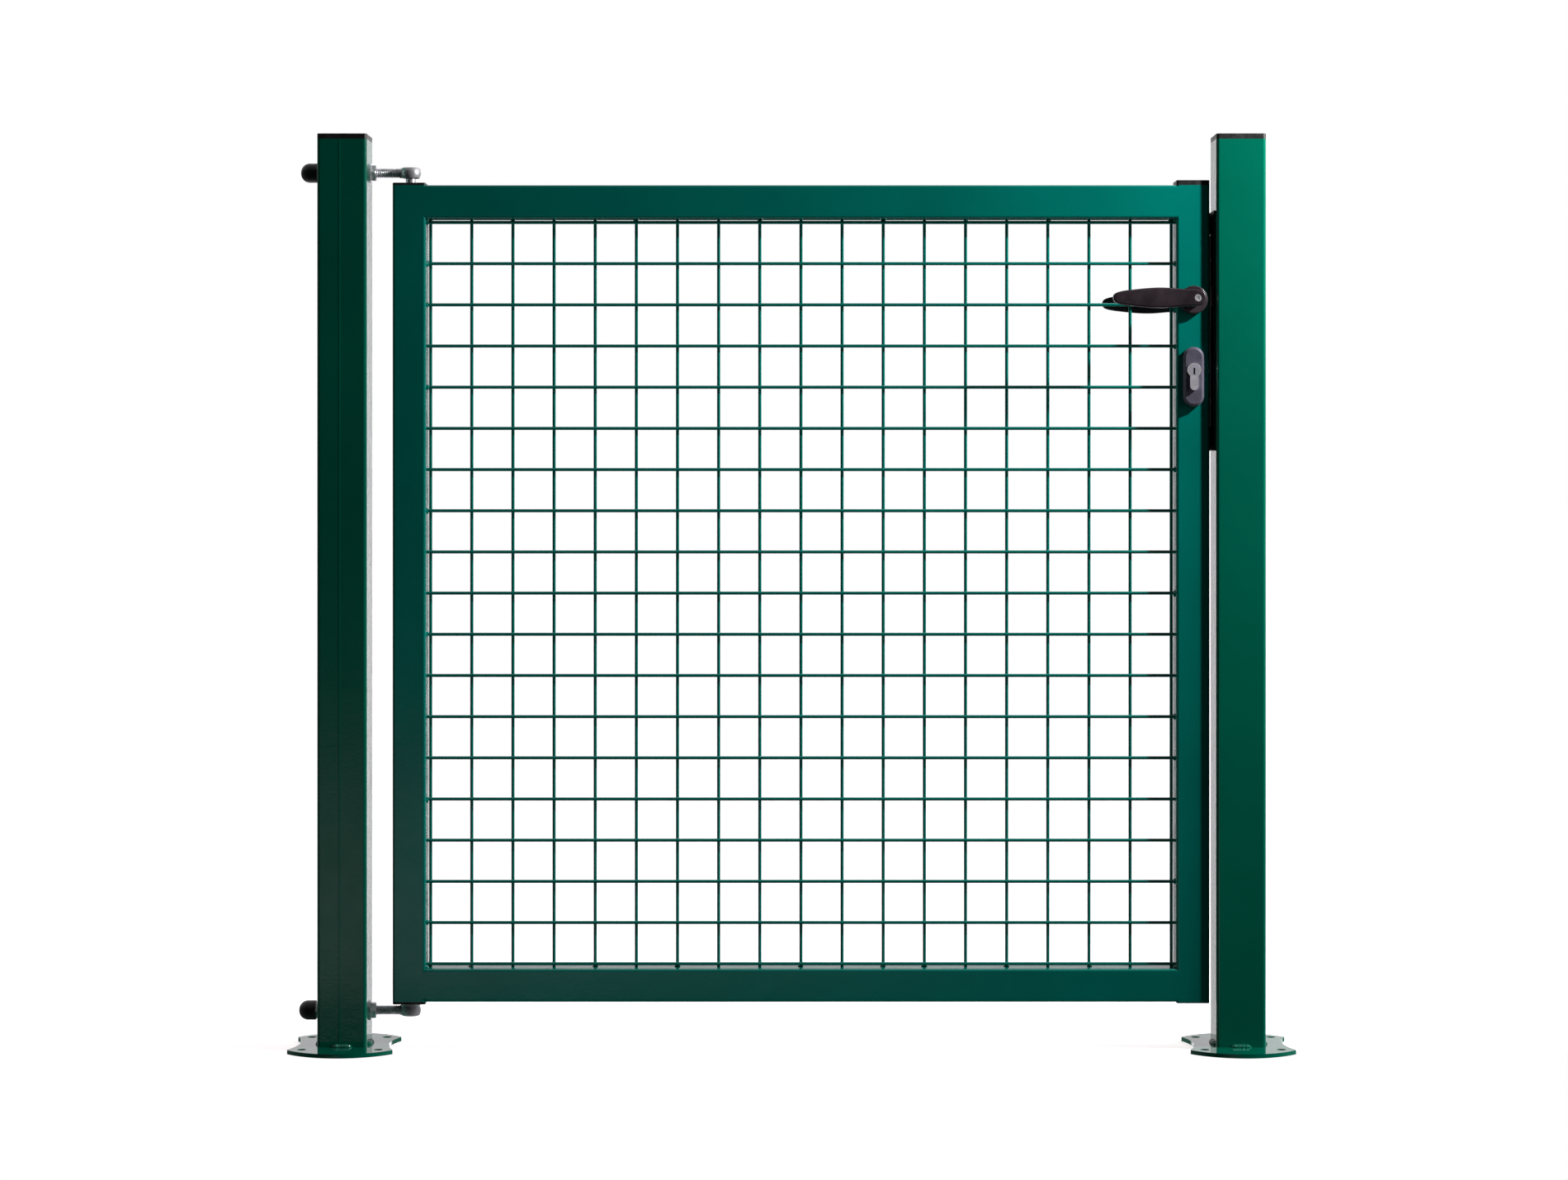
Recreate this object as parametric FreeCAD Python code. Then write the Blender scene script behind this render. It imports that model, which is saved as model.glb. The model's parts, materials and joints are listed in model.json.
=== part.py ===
# Pedestrian gate of a livestock pen: a welded-mesh leaf that swings on two eye bolts
# between two square posts, with a lever lock on one side and a keeper on the other.
# Millimetres. X runs from the hinge post to the latch post, Y from front to back,
# Z up. The origin is on the ground, midway between the posts, at their mid-depth.

import FreeCAD, Part
import math
import os
from FreeCAD import Vector

# Overall layout
CLEAR_OPENING = 1025.0        # between the posts' inner faces
LEAF_HEIGHT = 988.0           # height of the leaf's stiles
LEAF_FLOOR_GAP = 58.0         # from the ground to the leaf's tubes
HINGE_GAP = 30.0              # from the hinge post to the leaf
LATCH_GAP = 7.0               # from the leaf to the latch post
POST_ABOVE_LEAF = 55.0        # from the leaf's top to the top of a post's tube

# Tubes
POST_WIDTH = 60.0
POST_WALL = 2.0
POST_CORNER = 4.0
TUBE = 40.0                   # the leaf's stiles and rails
TUBE_WALL = 2.0
TUBE_CORNER = 3.0

# Base plates
PLATE_THICKNESS = 5.0
PLATE_RADIUS = 80.0           # round front and back
PLATE_TIP_X = 64.0            # half width at the four tips
PLATE_WAIST_X = 54.0          # half width in the middle of the scalloped sides
PLATE_TIP_ROUND = 4.0
PLATE_HOLE_D = 11.0
PLATE_HOLE_PITCH = 92.0

# Caps and plugs
POST_CAP_HEAD = 6.5
POST_CAP_EDGE = 0.6           # rounding of each cap's top edge
LEAF_CAP_HEAD = 6.0
LEAF_CAP_EDGE = 0.6
PIN_PLUG_HEAD = 3.0
PIN_PLUG_EDGE = 1.0
LATCH_PLUG_HEAD = 1.5
LATCH_PLUG_EDGE = 0.5
SKIRT_DEPTH = 12.0
SKIRT_WALL = 2.5
SKIRT_CLEARANCE = 0.1

# Welded mesh
WIRE_D = 4.0
MESH_PITCH = 50.0
WIRE_CROSSING_GAP = 0.1

# Hinges
THREAD_D = 12.0
THREAD_CLEARANCE = 0.05
THREAD_END_CHAMFER = 1.0
POST_BOLT_HOLE_D = 13.0
PIN_D = 12.0
PIN_RUNNING_CLEARANCE = 0.075
PIN_CHAMFER = 1.0
EYE_D = 25.0
EYE_THICKNESS = 13.0
TOP_EYE_RISE = 16.0           # from the leaf's top to the eye's middle
THRUST_WASHER_D = 24.0
THRUST_WASHER_THICKNESS = 3.0
WASHER_D = 24.0
WASHER_THICKNESS = 2.5
NUT_FLATS = 18.0
NUT_CHAMFER = 0.8
THIN_NUT = 6.0
OUTER_NUT = 10.0
THREAD_PAST_NUT = 3.0
PIN_BLOCK_HEIGHT = 30.0
PIN_TOP_DROP = 0.5            # the pins end this far inside the eyes' faces
COVER_D = 23.5
COVER_LENGTH = 20.5
COVER_DOME = 10.8
COVER_DOME_INSIDE = 9.6
COVER_BORE_D = 20.9
COVER_END_WALL = 2.5
LOOSE_COVER_GAP = 2.3         # the lower cover isn't pushed fully home

# Lock
HANDLE_BELOW_TOP = 139.0      # from the leaf's top to the spindle
CYLINDER_BELOW_SPINDLE = 85.0
LEVER_ANGLE = 40.0
LATCH_THROW = 12.0
CASE_THICKNESS = 16.0
CASE_WALL = 1.5
CASE_BACK_GAP = 1.5
CASE_ABOVE_SPINDLE = 50.0
CASE_BELOW_SPINDLE = 123.0
POCKET_CLEARANCE = 0.2        # between the case and the stile's pocket
CYLINDER_HOLE_MARGIN = 0.5
FOREND_WIDTH = 24.0
FOREND_THICKNESS = 2.5
FOREND_ABOVE_SPINDLE = 80.0
FOREND_BELOW_SPINDLE = 152.0
FOREND_SCREW_INSET = 10.0
FOREND_CORNER = 3.0
SLIDE_CLEARANCE = 0.3
LATCH_BOLT_HEIGHT = 25.0
LATCH_BOLT_BOTTOM = -7.5      # from the spindle's height
LATCH_BOLT_THICKNESS = 11.0
LATCH_TIP_FLAT = 2.0
LATCH_BEVEL_START = 1.0       # from the forend's outer face
LATCH_CHEEK = 1.5
LATCH_CHEEK_BOTTOM = 7.0
LATCH_CHEEK_PAST_PIN = 1.0
CROSS_PIN_D = 3.0
FOLLOWER_CORE_D = 14.8
FOLLOWER_CORE_THICKNESS = 7.0
FOLLOWER_COLLAR_D = 13.2
NOSE_WIDTH = 4.0
NOSE_PAST_PIN = 0.7
NOSE_REST_ANGLE = 55.0        # from +X towards +Z
DEADBOLT_HEIGHT = 24.0
DEADBOLT_THICKNESS = 12.0
DEADBOLT_LENGTH = 30.0
DEADBOLT_CHAMFER = 0.8
DEADBOLT_ABOVE_CYLINDER = 28.0
SPRING_RADIUS = 2.8
SPRING_WIRE_D = 0.8
SPRING_TURNS = 6
SPRING_END_GAP = 0.05

# Cylinder, after the Euro profile
CORE_D = 17.0
TAIL_WIDTH = 10.0
PROFILE_HEIGHT = 33.0
CYLINDER_PROUD = 13.0         # past the stile's face
PLUG_D = 13.0
PLUG_CLEARANCE = 0.05
CAM_THICKNESS = 10.0
CAM_RING_D = 16.8
CAM_LOBE_WIDTH = 8.0
CAM_CLEARANCE = 0.3
CAM_TO_CASE = 2.0
KEYWAY_WIDTH = 2.2
KEYWAY_HEIGHT = 8.0
KEYWAY_DEPTH = 20.0
KEYWAY_FLOOR = 1.0            # from the plug's lowest point

# Furniture
ESCUTCHEON_WIDTH = 25.0
ESCUTCHEON_HEIGHT = 72.0
ESCUTCHEON_THICKNESS = 9.0
ESCUTCHEON_BEVEL = 3.0
ESCUTCHEON_SCREW_INSET = 8.0
ESCUTCHEON_SCREW_LENGTH = 14.0
ROSETTE_D = 34.0
ROSETTE_THICKNESS = 8.0
ROSETTE_EDGE = 1.5
ROSETTE_SEAT = 4.7            # depth of the recess that carries the lever's neck
ROSETTE_BORE_D = 12.4
SPINDLE = 8.0
SOCKET_CLEARANCE = 0.1
LEVER_REACH = 55.0            # from the stile's face to the lever's outer face
LEVER_THICKNESS = 11.0
LEVER_HUB_R = 9.5
LEVER_TIP = 101.5
LEVER_EDGE_POINTS = ((-8.0, 10.0), (-43.0, 12.1), (-80.0, 9.5), (-95.5, 6.8), (-100.3, 4.2))
LEVER_SHOULDER = (0.57, 0.82) # times the hub's radius
LEVER_EDGE = 2.0
LEVER_SKIN = 9.0              # from the spindle's end to the lever's outer face
LEVER_SCREW_RECESS = 4.0
LEVER_SCREW_HEAD = 3.6
LEVER_SCREW_GRIP = 6.0        # thread in the spindle's end
LEVER_SCREW_SPARE = 2.0       # empty thread past the screw
HEX_SOCKET_R = 2.3
HEX_SOCKET_DEPTH = 2.0
NECK_D = 17.0
NECK_CLEARANCE = 0.1
NECK_HOLE_MARGIN = 0.5        # round the neck where it could enter the stile
NECK_INTO_BLADE = 1.0

# Keeper
KEEPER_THICKNESS = 2.5
KEEPER_BEND = 2.4             # outer radius where the stop meets the flange
KEEPER_STOP_GAP = 2.0         # from the leaf's back face to the stop
KEEPER_ABOVE_SPINDLE = 108.0
KEEPER_BELOW_SPINDLE = 182.0
KEEPER_STOP_WIDTH = 24.0
KEEPER_NARROW = 8.0           # width of the stop beside the handle set
KEEPER_TAB = 40.0             # the lower full-width tab's height
KEEPER_UPPER_TAB_START = 35.0 # the upper tab begins this far above the spindle
KEEPER_SCREW_INSET = 15.0
KEEPER_SCREW_PITCH = 45.0     # between the lower tab's two screws
LATCH_SLOT_HEIGHT = 59.0
LATCH_SLOT_MARGIN = 3.5       # above the latch bolt
DEADBOLT_SLOT_MARGIN = 2.0
SLOT_WIDTH = 16.0
POST_SLOT_MARGIN = 2.0        # the post's slot is larger than the keeper's all round
BUFFER_GAP = 0.3
BUFFER_INSET = 2.0

# Small screws
SCREW_D = 4.0
SCREW_HEAD_D = 8.0
SMALL_HEAD_D = 7.0
SCREW_LENGTH = 11.0
SCREW_CLEARANCE = 0.05
SCREW_HOLE_SPARE = 0.5
SOCKET_TO_HEAD = 0.35         # a socket's width, as a share of its screw's head
SOCKET_DEPTH_TO_HEAD = 0.25
CYLINDER_SCREW_GRIP = 2.0     # thread past the cylinder's middle
M5 = 5.0
M5_HEAD_D = 9.0

# Weld beads
FOOT_BEAD_R = 4.5
FOOT_BEAD_LENGTH = 25.0
CORNER_BEAD_R = 3.5
CORNER_BEAD_INSET = 0.5       # from the wires, and from the tubes' faces

# Places that follow from the sizes above
POST_X = (CLEAR_OPENING + POST_WIDTH) / 2
HINGE_FACE = -CLEAR_OPENING / 2
LATCH_FACE = CLEAR_OPENING / 2
LEAF_LEFT = HINGE_FACE + HINGE_GAP
LEAF_RIGHT = LATCH_FACE - LATCH_GAP
LEAF_BOTTOM = LEAF_FLOOR_GAP
LEAF_TOP = LEAF_BOTTOM + LEAF_HEIGHT
LEAF_MID_X = (LEAF_LEFT + LEAF_RIGHT) / 2
LEAF_MID_Z = (LEAF_BOTTOM + LEAF_TOP) / 2
LEAF_FACE = TUBE / 2
POST_TOP = LEAF_TOP + POST_ABOVE_LEAF
HINGE_X = LEAF_LEFT + TUBE / 2
LOCK_X = LEAF_RIGHT - TUBE / 2
TOP_EYE_Z = LEAF_TOP + TOP_EYE_RISE
BOTTOM_EYE_Z = LEAF_BOTTOM - PIN_PLUG_HEAD - THRUST_WASHER_THICKNESS - EYE_THICKNESS / 2
TUBE_INSIDE = TUBE - 2 * TUBE_WALL
SPINDLE_Z = LEAF_TOP - HANDLE_BELOW_TOP
CYLINDER_Z = SPINDLE_Z - CYLINDER_BELOW_SPINDLE
CYLINDER_HALF = LEAF_FACE + CYLINDER_PROUD
TAIL_Z = CYLINDER_Z + CORE_D / 2 - PROFILE_HEIGHT + TAIL_WIDTH / 2
ESCUTCHEON_Z = CYLINDER_Z + (CORE_D - PROFILE_HEIGHT) / 2
FOREND_OUTER = LEAF_RIGHT + FOREND_THICKNESS
CASE_BACK = LEAF_RIGHT - TUBE + TUBE_WALL + CASE_BACK_GAP
CASE_INSIDE = CASE_BACK + CASE_WALL
CAM_REACH = LOCK_X - CASE_INSIDE - CAM_TO_CASE
DEADBOLT_Z = CYLINDER_Z + DEADBOLT_ABOVE_CYLINDER
KEEPER_TOP = SPINDLE_Z + KEEPER_ABOVE_SPINDLE
KEEPER_BOTTOM = SPINDLE_Z - KEEPER_BELOW_SPINDLE
KEEPER_INNER = LATCH_FACE - KEEPER_THICKNESS
STOP_Y = LEAF_FACE + KEEPER_STOP_GAP
SPINDLE_END = LEAF_FACE + LEVER_REACH - LEVER_SKIN

ALONG_X = Vector(1, 0, 0)
ALONG_Y = Vector(0, 1, 0)
ALONG_Z = Vector(0, 0, 1)
BIG = 400.0                   # reaches past any cut or kept region
SAME_PLACE = 0.01             # edges nearer than this to a plane lie in it


# ---------------------------------------------------------------- basic shapes

def block(x0, x1, y0, y1, z0, z1):
    return Part.makeBox(x1 - x0, y1 - y0, z1 - z0, Vector(x0, y0, z0))


def rod(diameter, start, axis, length):
    return Part.makeCylinder(diameter / 2, length, start, axis)


def edges_along(shape, axis):
    return [edge for edge in shape.Edges
            if isinstance(edge.Curve, Part.Line) and abs(edge.Curve.Direction.dot(axis)) > 0.99]


def edges_at(shape, axis, place):
    """Edges that lie wholly in the plane at that place along an axis."""
    found = []
    for edge in shape.Edges:
        box = edge.BoundBox
        low = Vector(box.XMin, box.YMin, box.ZMin).dot(axis)
        high = Vector(box.XMax, box.YMax, box.ZMax).dot(axis)
        if abs(low - place) < SAME_PLACE and abs(high - place) < SAME_PLACE:
            found.append(edge)
    return found


def rounded_bar(width, corner, length):
    """Square bar with rounded corners that stands on the origin."""
    bar = block(-width / 2, width / 2, -width / 2, width / 2, 0, length)
    return bar.makeFillet(corner, edges_along(bar, ALONG_Z))


def square_tube(width, wall, corner, length):
    hollow = rounded_bar(width - 2 * wall, corner - wall, length)
    return rounded_bar(width, corner, length).cut(hollow)


def moved(shape, x=0.0, y=0.0, z=0.0):
    shape = shape.copy()
    shape.translate(Vector(x, y, z))
    return shape


def turned(shape, axis, degrees):
    shape = shape.copy()
    shape.rotate(Vector(0, 0, 0), axis, degrees)
    return shape


def mirrored_in_y(shape):
    return shape.mirror(Vector(0, 0, 0), ALONG_Y)


def ring(outer_d, inner_d, thickness):
    """Flat ring along +X from the origin."""
    disc = rod(outer_d, Vector(0, 0, 0), ALONG_X, thickness)
    return disc.cut(rod(inner_d, Vector(0, 0, 0), ALONG_X, thickness))


def bead(start, end, radius, keep):
    """Quarter-round weld bead with round ends, kept inside the given block."""
    run = end - start
    body = Part.makeCylinder(radius, run.Length, start, run)
    for point in (start, end):
        body = body.fuse(Part.makeSphere(radius, point))
    return body.common(keep).removeSplitter()


def countersunk_screw(length, shank_d, head_d):
    """Screw whose flat head lies at the origin and whose shank runs along -X."""
    head = Part.makeCone(head_d / 2, shank_d / 2, (head_d - shank_d) / 2,
                         Vector(0, 0, 0), -ALONG_X)
    screw = head.fuse(rod(shank_d, Vector(0, 0, 0), -ALONG_X, length))
    socket = rod(SOCKET_TO_HEAD * head_d, Vector(0, 0, 0), -ALONG_X,
                 SOCKET_DEPTH_TO_HEAD * head_d)
    return screw.cut(socket)


def countersunk_hole(length, shank_d, head_d):
    grow = 2 * SCREW_CLEARANCE
    head = Part.makeCone(head_d / 2 + SCREW_CLEARANCE, shank_d / 2 + SCREW_CLEARANCE,
                         (head_d - shank_d) / 2, Vector(0, 0, 0), -ALONG_X)
    return head.fuse(rod(shank_d + grow, Vector(0, 0, 0), -ALONG_X, length))


# ------------------------------------------------------------- caps and plugs

def tube_cap(width, wall, corner, head, edge, bore_d=0.0):
    """Plastic cap with a hollow skirt; its head's underside is at Z = 0."""
    top = rounded_bar(width, corner, head)
    if edge > 0:
        top = top.makeFillet(edge, edges_at(top, ALONG_Z, head))
    skirt_width = width - 2 * wall - 2 * SKIRT_CLEARANCE
    skirt_corner = corner - wall
    skirt = rounded_bar(skirt_width, skirt_corner, SKIRT_DEPTH)
    hollow_width = skirt_width - 2 * SKIRT_WALL
    skirt = skirt.cut(block(-hollow_width / 2, hollow_width / 2,
                            -hollow_width / 2, hollow_width / 2, 0, SKIRT_DEPTH))
    cap = top.fuse(moved(skirt, z=-SKIRT_DEPTH)).removeSplitter()
    if bore_d:
        cap = cap.cut(rod(bore_d, Vector(0, 0, 0), ALONG_Z, head))
    return cap


# ---------------------------------------------------------------------- posts

def base_plate(x):
    disc = rod(2 * PLATE_RADIUS, Vector(0, 0, 0), ALONG_Z, PLATE_THICKNESS)
    tip_y = math.sqrt(PLATE_RADIUS ** 2 - PLATE_TIP_X ** 2)
    depth = PLATE_TIP_X - PLATE_WAIST_X
    scallop_r = (tip_y ** 2 + depth ** 2) / (2 * depth)
    for side in (-1, 1):
        centre = Vector(side * (PLATE_WAIST_X + scallop_r), 0, 0)
        disc = disc.cut(rod(2 * scallop_r, centre, ALONG_Z, PLATE_THICKNESS))
    tips = [edge for edge in edges_along(disc, ALONG_Z) if abs(edge.Vertexes[0].Y) > tip_y / 2]
    disc = disc.makeFillet(PLATE_TIP_ROUND, tips)
    for across in (-0.5, 0.5):
        for along in (-0.5, 0.5):
            spot = Vector(across * PLATE_HOLE_PITCH, along * PLATE_HOLE_PITCH, 0)
            disc = disc.cut(rod(PLATE_HOLE_D, spot, ALONG_Z, PLATE_THICKNESS))
    return moved(disc, x=x)


def post_tube(x):
    length = POST_TOP - PLATE_THICKNESS
    return moved(square_tube(POST_WIDTH, POST_WALL, POST_CORNER, length), x, 0, PLATE_THICKNESS)


def hinge_post():
    post = post_tube(-POST_X)
    for z in (TOP_EYE_Z, BOTTOM_EYE_Z):
        start = Vector(HINGE_FACE - POST_WIDTH, 0, z)
        post = post.cut(rod(POST_BOLT_HOLE_D, start, ALONG_X, POST_WIDTH))
    return post


def keeper_slots():
    """Height ranges of the latch bolt's and the deadbolt's openings."""
    latch_high = SPINDLE_Z + LATCH_BOLT_BOTTOM + LATCH_BOLT_HEIGHT + LATCH_SLOT_MARGIN
    latch = (latch_high - LATCH_SLOT_HEIGHT, latch_high)
    half = DEADBOLT_HEIGHT / 2 + DEADBOLT_SLOT_MARGIN
    deadbolt = (DEADBOLT_Z - half, DEADBOLT_Z + half)
    return latch, deadbolt


def keeper_screw_heights():
    lowest = KEEPER_BOTTOM + KEEPER_SCREW_INSET
    return (lowest, lowest + KEEPER_SCREW_PITCH,
            SPINDLE_Z + KEEPER_UPPER_TAB_START + KEEPER_SCREW_INSET,
            KEEPER_TOP - KEEPER_SCREW_INSET)


def latch_post():
    post = post_tube(POST_X)
    latch, deadbolt = keeper_slots()
    half = SLOT_WIDTH / 2 + POST_SLOT_MARGIN
    post = post.cut(block(LATCH_FACE, LATCH_FACE + POST_WALL, -half, half,
                          deadbolt[0] - POST_SLOT_MARGIN, latch[1] + POST_SLOT_MARGIN))
    for z in keeper_screw_heights():
        hole_d = SCREW_D + 2 * SCREW_CLEARANCE
        post = post.cut(rod(hole_d, Vector(LATCH_FACE, 0, z), ALONG_X, POST_WALL))
    return post


def post_cap(x):
    cap = tube_cap(POST_WIDTH, POST_WALL, POST_CORNER, POST_CAP_HEAD, POST_CAP_EDGE)
    return moved(cap, x, 0, POST_TOP)


def foot_welds():
    """A short bead in the middle of each side of both posts."""
    beads = []
    half = POST_WIDTH / 2
    for x in (-POST_X, POST_X):
        for quarter in range(4):
            start = Vector(-FOOT_BEAD_LENGTH / 2, -half, PLATE_THICKNESS)
            end = Vector(FOOT_BEAD_LENGTH / 2, -half, PLATE_THICKNESS)
            keep = block(-BIG, BIG, -half - BIG, -half, PLATE_THICKNESS, BIG)
            one = turned(bead(start, end, FOOT_BEAD_R, keep), ALONG_Z, 90 * quarter)
            beads.append(moved(one, x=x))
    return Part.makeCompound(beads)


# --------------------------------------------------------------------- hinges

def outer_thread_end():
    return HINGE_FACE - POST_WIDTH - WASHER_THICKNESS - OUTER_NUT - THREAD_PAST_NUT


def eye_bolt(z):
    """Eye bolt with its eye on the hinge axis and its shank through the post."""
    centre = Vector(HINGE_X, 0, z)
    half = EYE_THICKNESS / 2
    slab = block(HINGE_X - EYE_D, HINGE_X + EYE_D, -EYE_D, EYE_D, z - half, z + half)
    eye = Part.makeSphere(EYE_D / 2, centre).common(slab)
    end = outer_thread_end()
    shank = rod(THREAD_D, Vector(end, 0, z), ALONG_X, HINGE_X - end)
    shank = shank.makeChamfer(THREAD_END_CHAMFER, edges_at(shank, ALONG_X, end))
    hole_d = PIN_D + 2 * PIN_RUNNING_CLEARANCE
    hole = rod(hole_d, Vector(HINGE_X, 0, z - EYE_D), ALONG_Z, 2 * EYE_D)
    return eye.fuse(shank).cut(hole).removeSplitter()


def hex_nut(thickness):
    """Nut along +X from the origin, with chamfered corners."""
    corner_r = NUT_FLATS / math.sqrt(3)
    points = []
    for step in range(7):
        angle = math.radians(60 * step)
        points.append(Vector(0, corner_r * math.cos(angle), corner_r * math.sin(angle)))
    prism = Part.Face(Part.makePolygon(points)).extrude(Vector(thickness, 0, 0))
    turning = rod(2 * corner_r, Vector(0, 0, 0), ALONG_X, thickness)
    ends = edges_at(turning, ALONG_X, 0) + edges_at(turning, ALONG_X, thickness)
    nut = prism.common(turning.makeChamfer(NUT_CHAMFER, ends))
    bore_d = THREAD_D + 2 * THREAD_CLEARANCE
    return nut.cut(rod(bore_d, Vector(0, 0, 0), ALONG_X, thickness))


def bolt_washer():
    return ring(WASHER_D, POST_BOLT_HOLE_D, WASHER_THICKNESS)


def bolt_cover():
    """Domed cover along -X from the origin, open at its rim."""
    outer = rod(COVER_D, Vector(0, 0, 0), -ALONG_X, COVER_LENGTH)
    outer = outer.makeFillet(COVER_DOME, edges_at(outer, ALONG_X, -COVER_LENGTH))
    depth = COVER_LENGTH - COVER_END_WALL
    inner = rod(COVER_BORE_D, Vector(0, 0, 0), -ALONG_X, depth)
    inner = inner.makeFillet(COVER_DOME_INSIDE, edges_at(inner, ALONG_X, -depth))
    return outer.cut(inner)


def hinge_hardware():
    """Washers, nuts and cover of both eye bolts, by node name."""
    outside = HINGE_FACE - POST_WIDTH
    nodes = {}
    for name, z, cover_gap in (("top", TOP_EYE_Z, 0.0), ("bottom", BOTTOM_EYE_Z, LOOSE_COVER_GAP)):
        seat = outside - WASHER_THICKNESS
        nodes[name + "_inner_washer"] = moved(bolt_washer(), HINGE_FACE, 0, z)
        nodes[name + "_inner_nut"] = moved(hex_nut(THIN_NUT), HINGE_FACE + WASHER_THICKNESS, 0, z)
        nodes[name + "_outer_washer"] = moved(bolt_washer(), seat, 0, z)
        nodes[name + "_outer_nut"] = moved(hex_nut(OUTER_NUT), seat - OUTER_NUT, 0, z)
        nodes[name + "_bolt_cover"] = moved(bolt_cover(), seat - cover_gap, 0, z)
    return nodes


def pin_blocks_and_pins():
    """Steel blocks welded inside the hinge stile's ends, and the pins that they hold."""
    block_width = TUBE_INSIDE - 2 * SKIRT_CLEARANCE
    bar = rounded_bar(block_width, TUBE_CORNER - TUBE_WALL, PIN_BLOCK_HEIGHT)
    hole_d = PIN_D + 2 * PIN_RUNNING_CLEARANCE
    bar = bar.cut(rod(hole_d, Vector(0, 0, 0), ALONG_Z, PIN_BLOCK_HEIGHT))
    top_base = LEAF_TOP - SKIRT_DEPTH - PIN_BLOCK_HEIGHT
    bottom_base = LEAF_BOTTOM + SKIRT_DEPTH
    top_end = TOP_EYE_Z + EYE_THICKNESS / 2 - PIN_TOP_DROP
    bottom_end = BOTTOM_EYE_Z - EYE_THICKNESS / 2 + PIN_TOP_DROP
    top_pin = rod(PIN_D, Vector(HINGE_X, 0, top_base), ALONG_Z, top_end - top_base)
    top_pin = top_pin.makeChamfer(PIN_CHAMFER, edges_at(top_pin, ALONG_Z, top_end))
    low_length = bottom_base + PIN_BLOCK_HEIGHT - bottom_end
    bottom_pin = rod(PIN_D, Vector(HINGE_X, 0, bottom_end), ALONG_Z, low_length)
    bottom_pin = bottom_pin.makeChamfer(PIN_CHAMFER, edges_at(bottom_pin, ALONG_Z, bottom_end))
    return {
        "top_pin_block": moved(bar, HINGE_X, 0, top_base),
        "bottom_pin_block": moved(bar, HINGE_X, 0, bottom_base),
        "top_hinge_pin": top_pin,
        "bottom_hinge_pin": bottom_pin,
    }


def thrust_washer():
    ring_shape = turned(ring(THRUST_WASHER_D, PIN_D + 2 * PIN_RUNNING_CLEARANCE,
                             THRUST_WASHER_THICKNESS), ALONG_Y, -90)
    return moved(ring_shape, HINGE_X, 0, BOTTOM_EYE_Z + EYE_THICKNESS / 2)


# ----------------------------------------------------------------- leaf frame

def stile(x):
    return moved(square_tube(TUBE, TUBE_WALL, TUBE_CORNER, LEAF_HEIGHT), x, 0, LEAF_BOTTOM)


def rail(z):
    length = LEAF_RIGHT - LEAF_LEFT - 2 * TUBE
    tube = turned(square_tube(TUBE, TUBE_WALL, TUBE_CORNER, length), ALONG_Y, 90)
    return moved(tube, LEAF_LEFT + TUBE, 0, z)


def latch_stile():
    """Stile with the lock's pocket, the cylinder's and the spindle's holes."""
    tube = stile(LOCK_X)
    half = CASE_THICKNESS / 2 + POCKET_CLEARANCE
    tube = tube.cut(block(LEAF_RIGHT - TUBE_WALL, LEAF_RIGHT, -half, half,
                          SPINDLE_Z - CASE_BELOW_SPINDLE - POCKET_CLEARANCE,
                          SPINDLE_Z + CASE_ABOVE_SPINDLE + POCKET_CLEARANCE))
    through = Vector(LOCK_X, -LEAF_FACE, SPINDLE_Z)
    tube = tube.cut(rod(NECK_D + 2 * NECK_HOLE_MARGIN, through, ALONG_Y, TUBE))
    tube = tube.cut(euro_profile(CYLINDER_HOLE_MARGIN, LEAF_FACE))
    for z in forend_screw_heights():
        tube = tube.cut(screw_hole(Vector(FOREND_OUTER, 0, z)))
    for z in escutcheon_screw_heights():
        start = Vector(LOCK_X, 0, z)
        tube = tube.cut(rod(SCREW_D + 2 * SCREW_CLEARANCE, start, ALONG_Y, LEAF_FACE))
    return tube


def frame_welds():
    """Beads in the frame's four inner corners, in front of and behind the wires."""
    beads = []
    inner_x = (LEAF_LEFT + TUBE, LEAF_RIGHT - TUBE)
    inner_z = (LEAF_BOTTOM + TUBE, LEAF_TOP - TUBE)
    keep = block(inner_x[0], inner_x[1], -BIG, BIG, inner_z[0], inner_z[1])
    near = WIRE_D + CORNER_BEAD_R + CORNER_BEAD_INSET
    far = LEAF_FACE - CORNER_BEAD_R - CORNER_BEAD_INSET
    for x in inner_x:
        for z in inner_z:
            for side in (-1, 1):
                start = Vector(x, side * near, z)
                end = Vector(x, side * far, z)
                beads.append(bead(start, end, CORNER_BEAD_R, keep))
    return Part.makeCompound(beads)


def wire_places(middle, opening):
    """Wire centres at the mesh pitch, symmetric about the middle of an opening."""
    half_count = int((opening / 2 - WIRE_D) // MESH_PITCH)
    return [middle + MESH_PITCH * step for step in range(-half_count, half_count + 1)]


def mesh_wires(axis):
    """Upright wires behind, level wires in front, each from one frame face to the other."""
    left, right = LEAF_LEFT + TUBE, LEAF_RIGHT - TUBE
    low, high = LEAF_BOTTOM + TUBE, LEAF_TOP - TUBE
    y = (WIRE_D + WIRE_CROSSING_GAP) / 2
    wires = []
    if axis == ALONG_Z:
        for x in wire_places(LEAF_MID_X, right - left):
            wires.append(rod(WIRE_D, Vector(x, y, low), ALONG_Z, high - low))
    else:
        for z in wire_places(LEAF_MID_Z, high - low):
            wires.append(rod(WIRE_D, Vector(left, -y, z), ALONG_X, right - left))
    return Part.makeCompound(wires)


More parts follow.
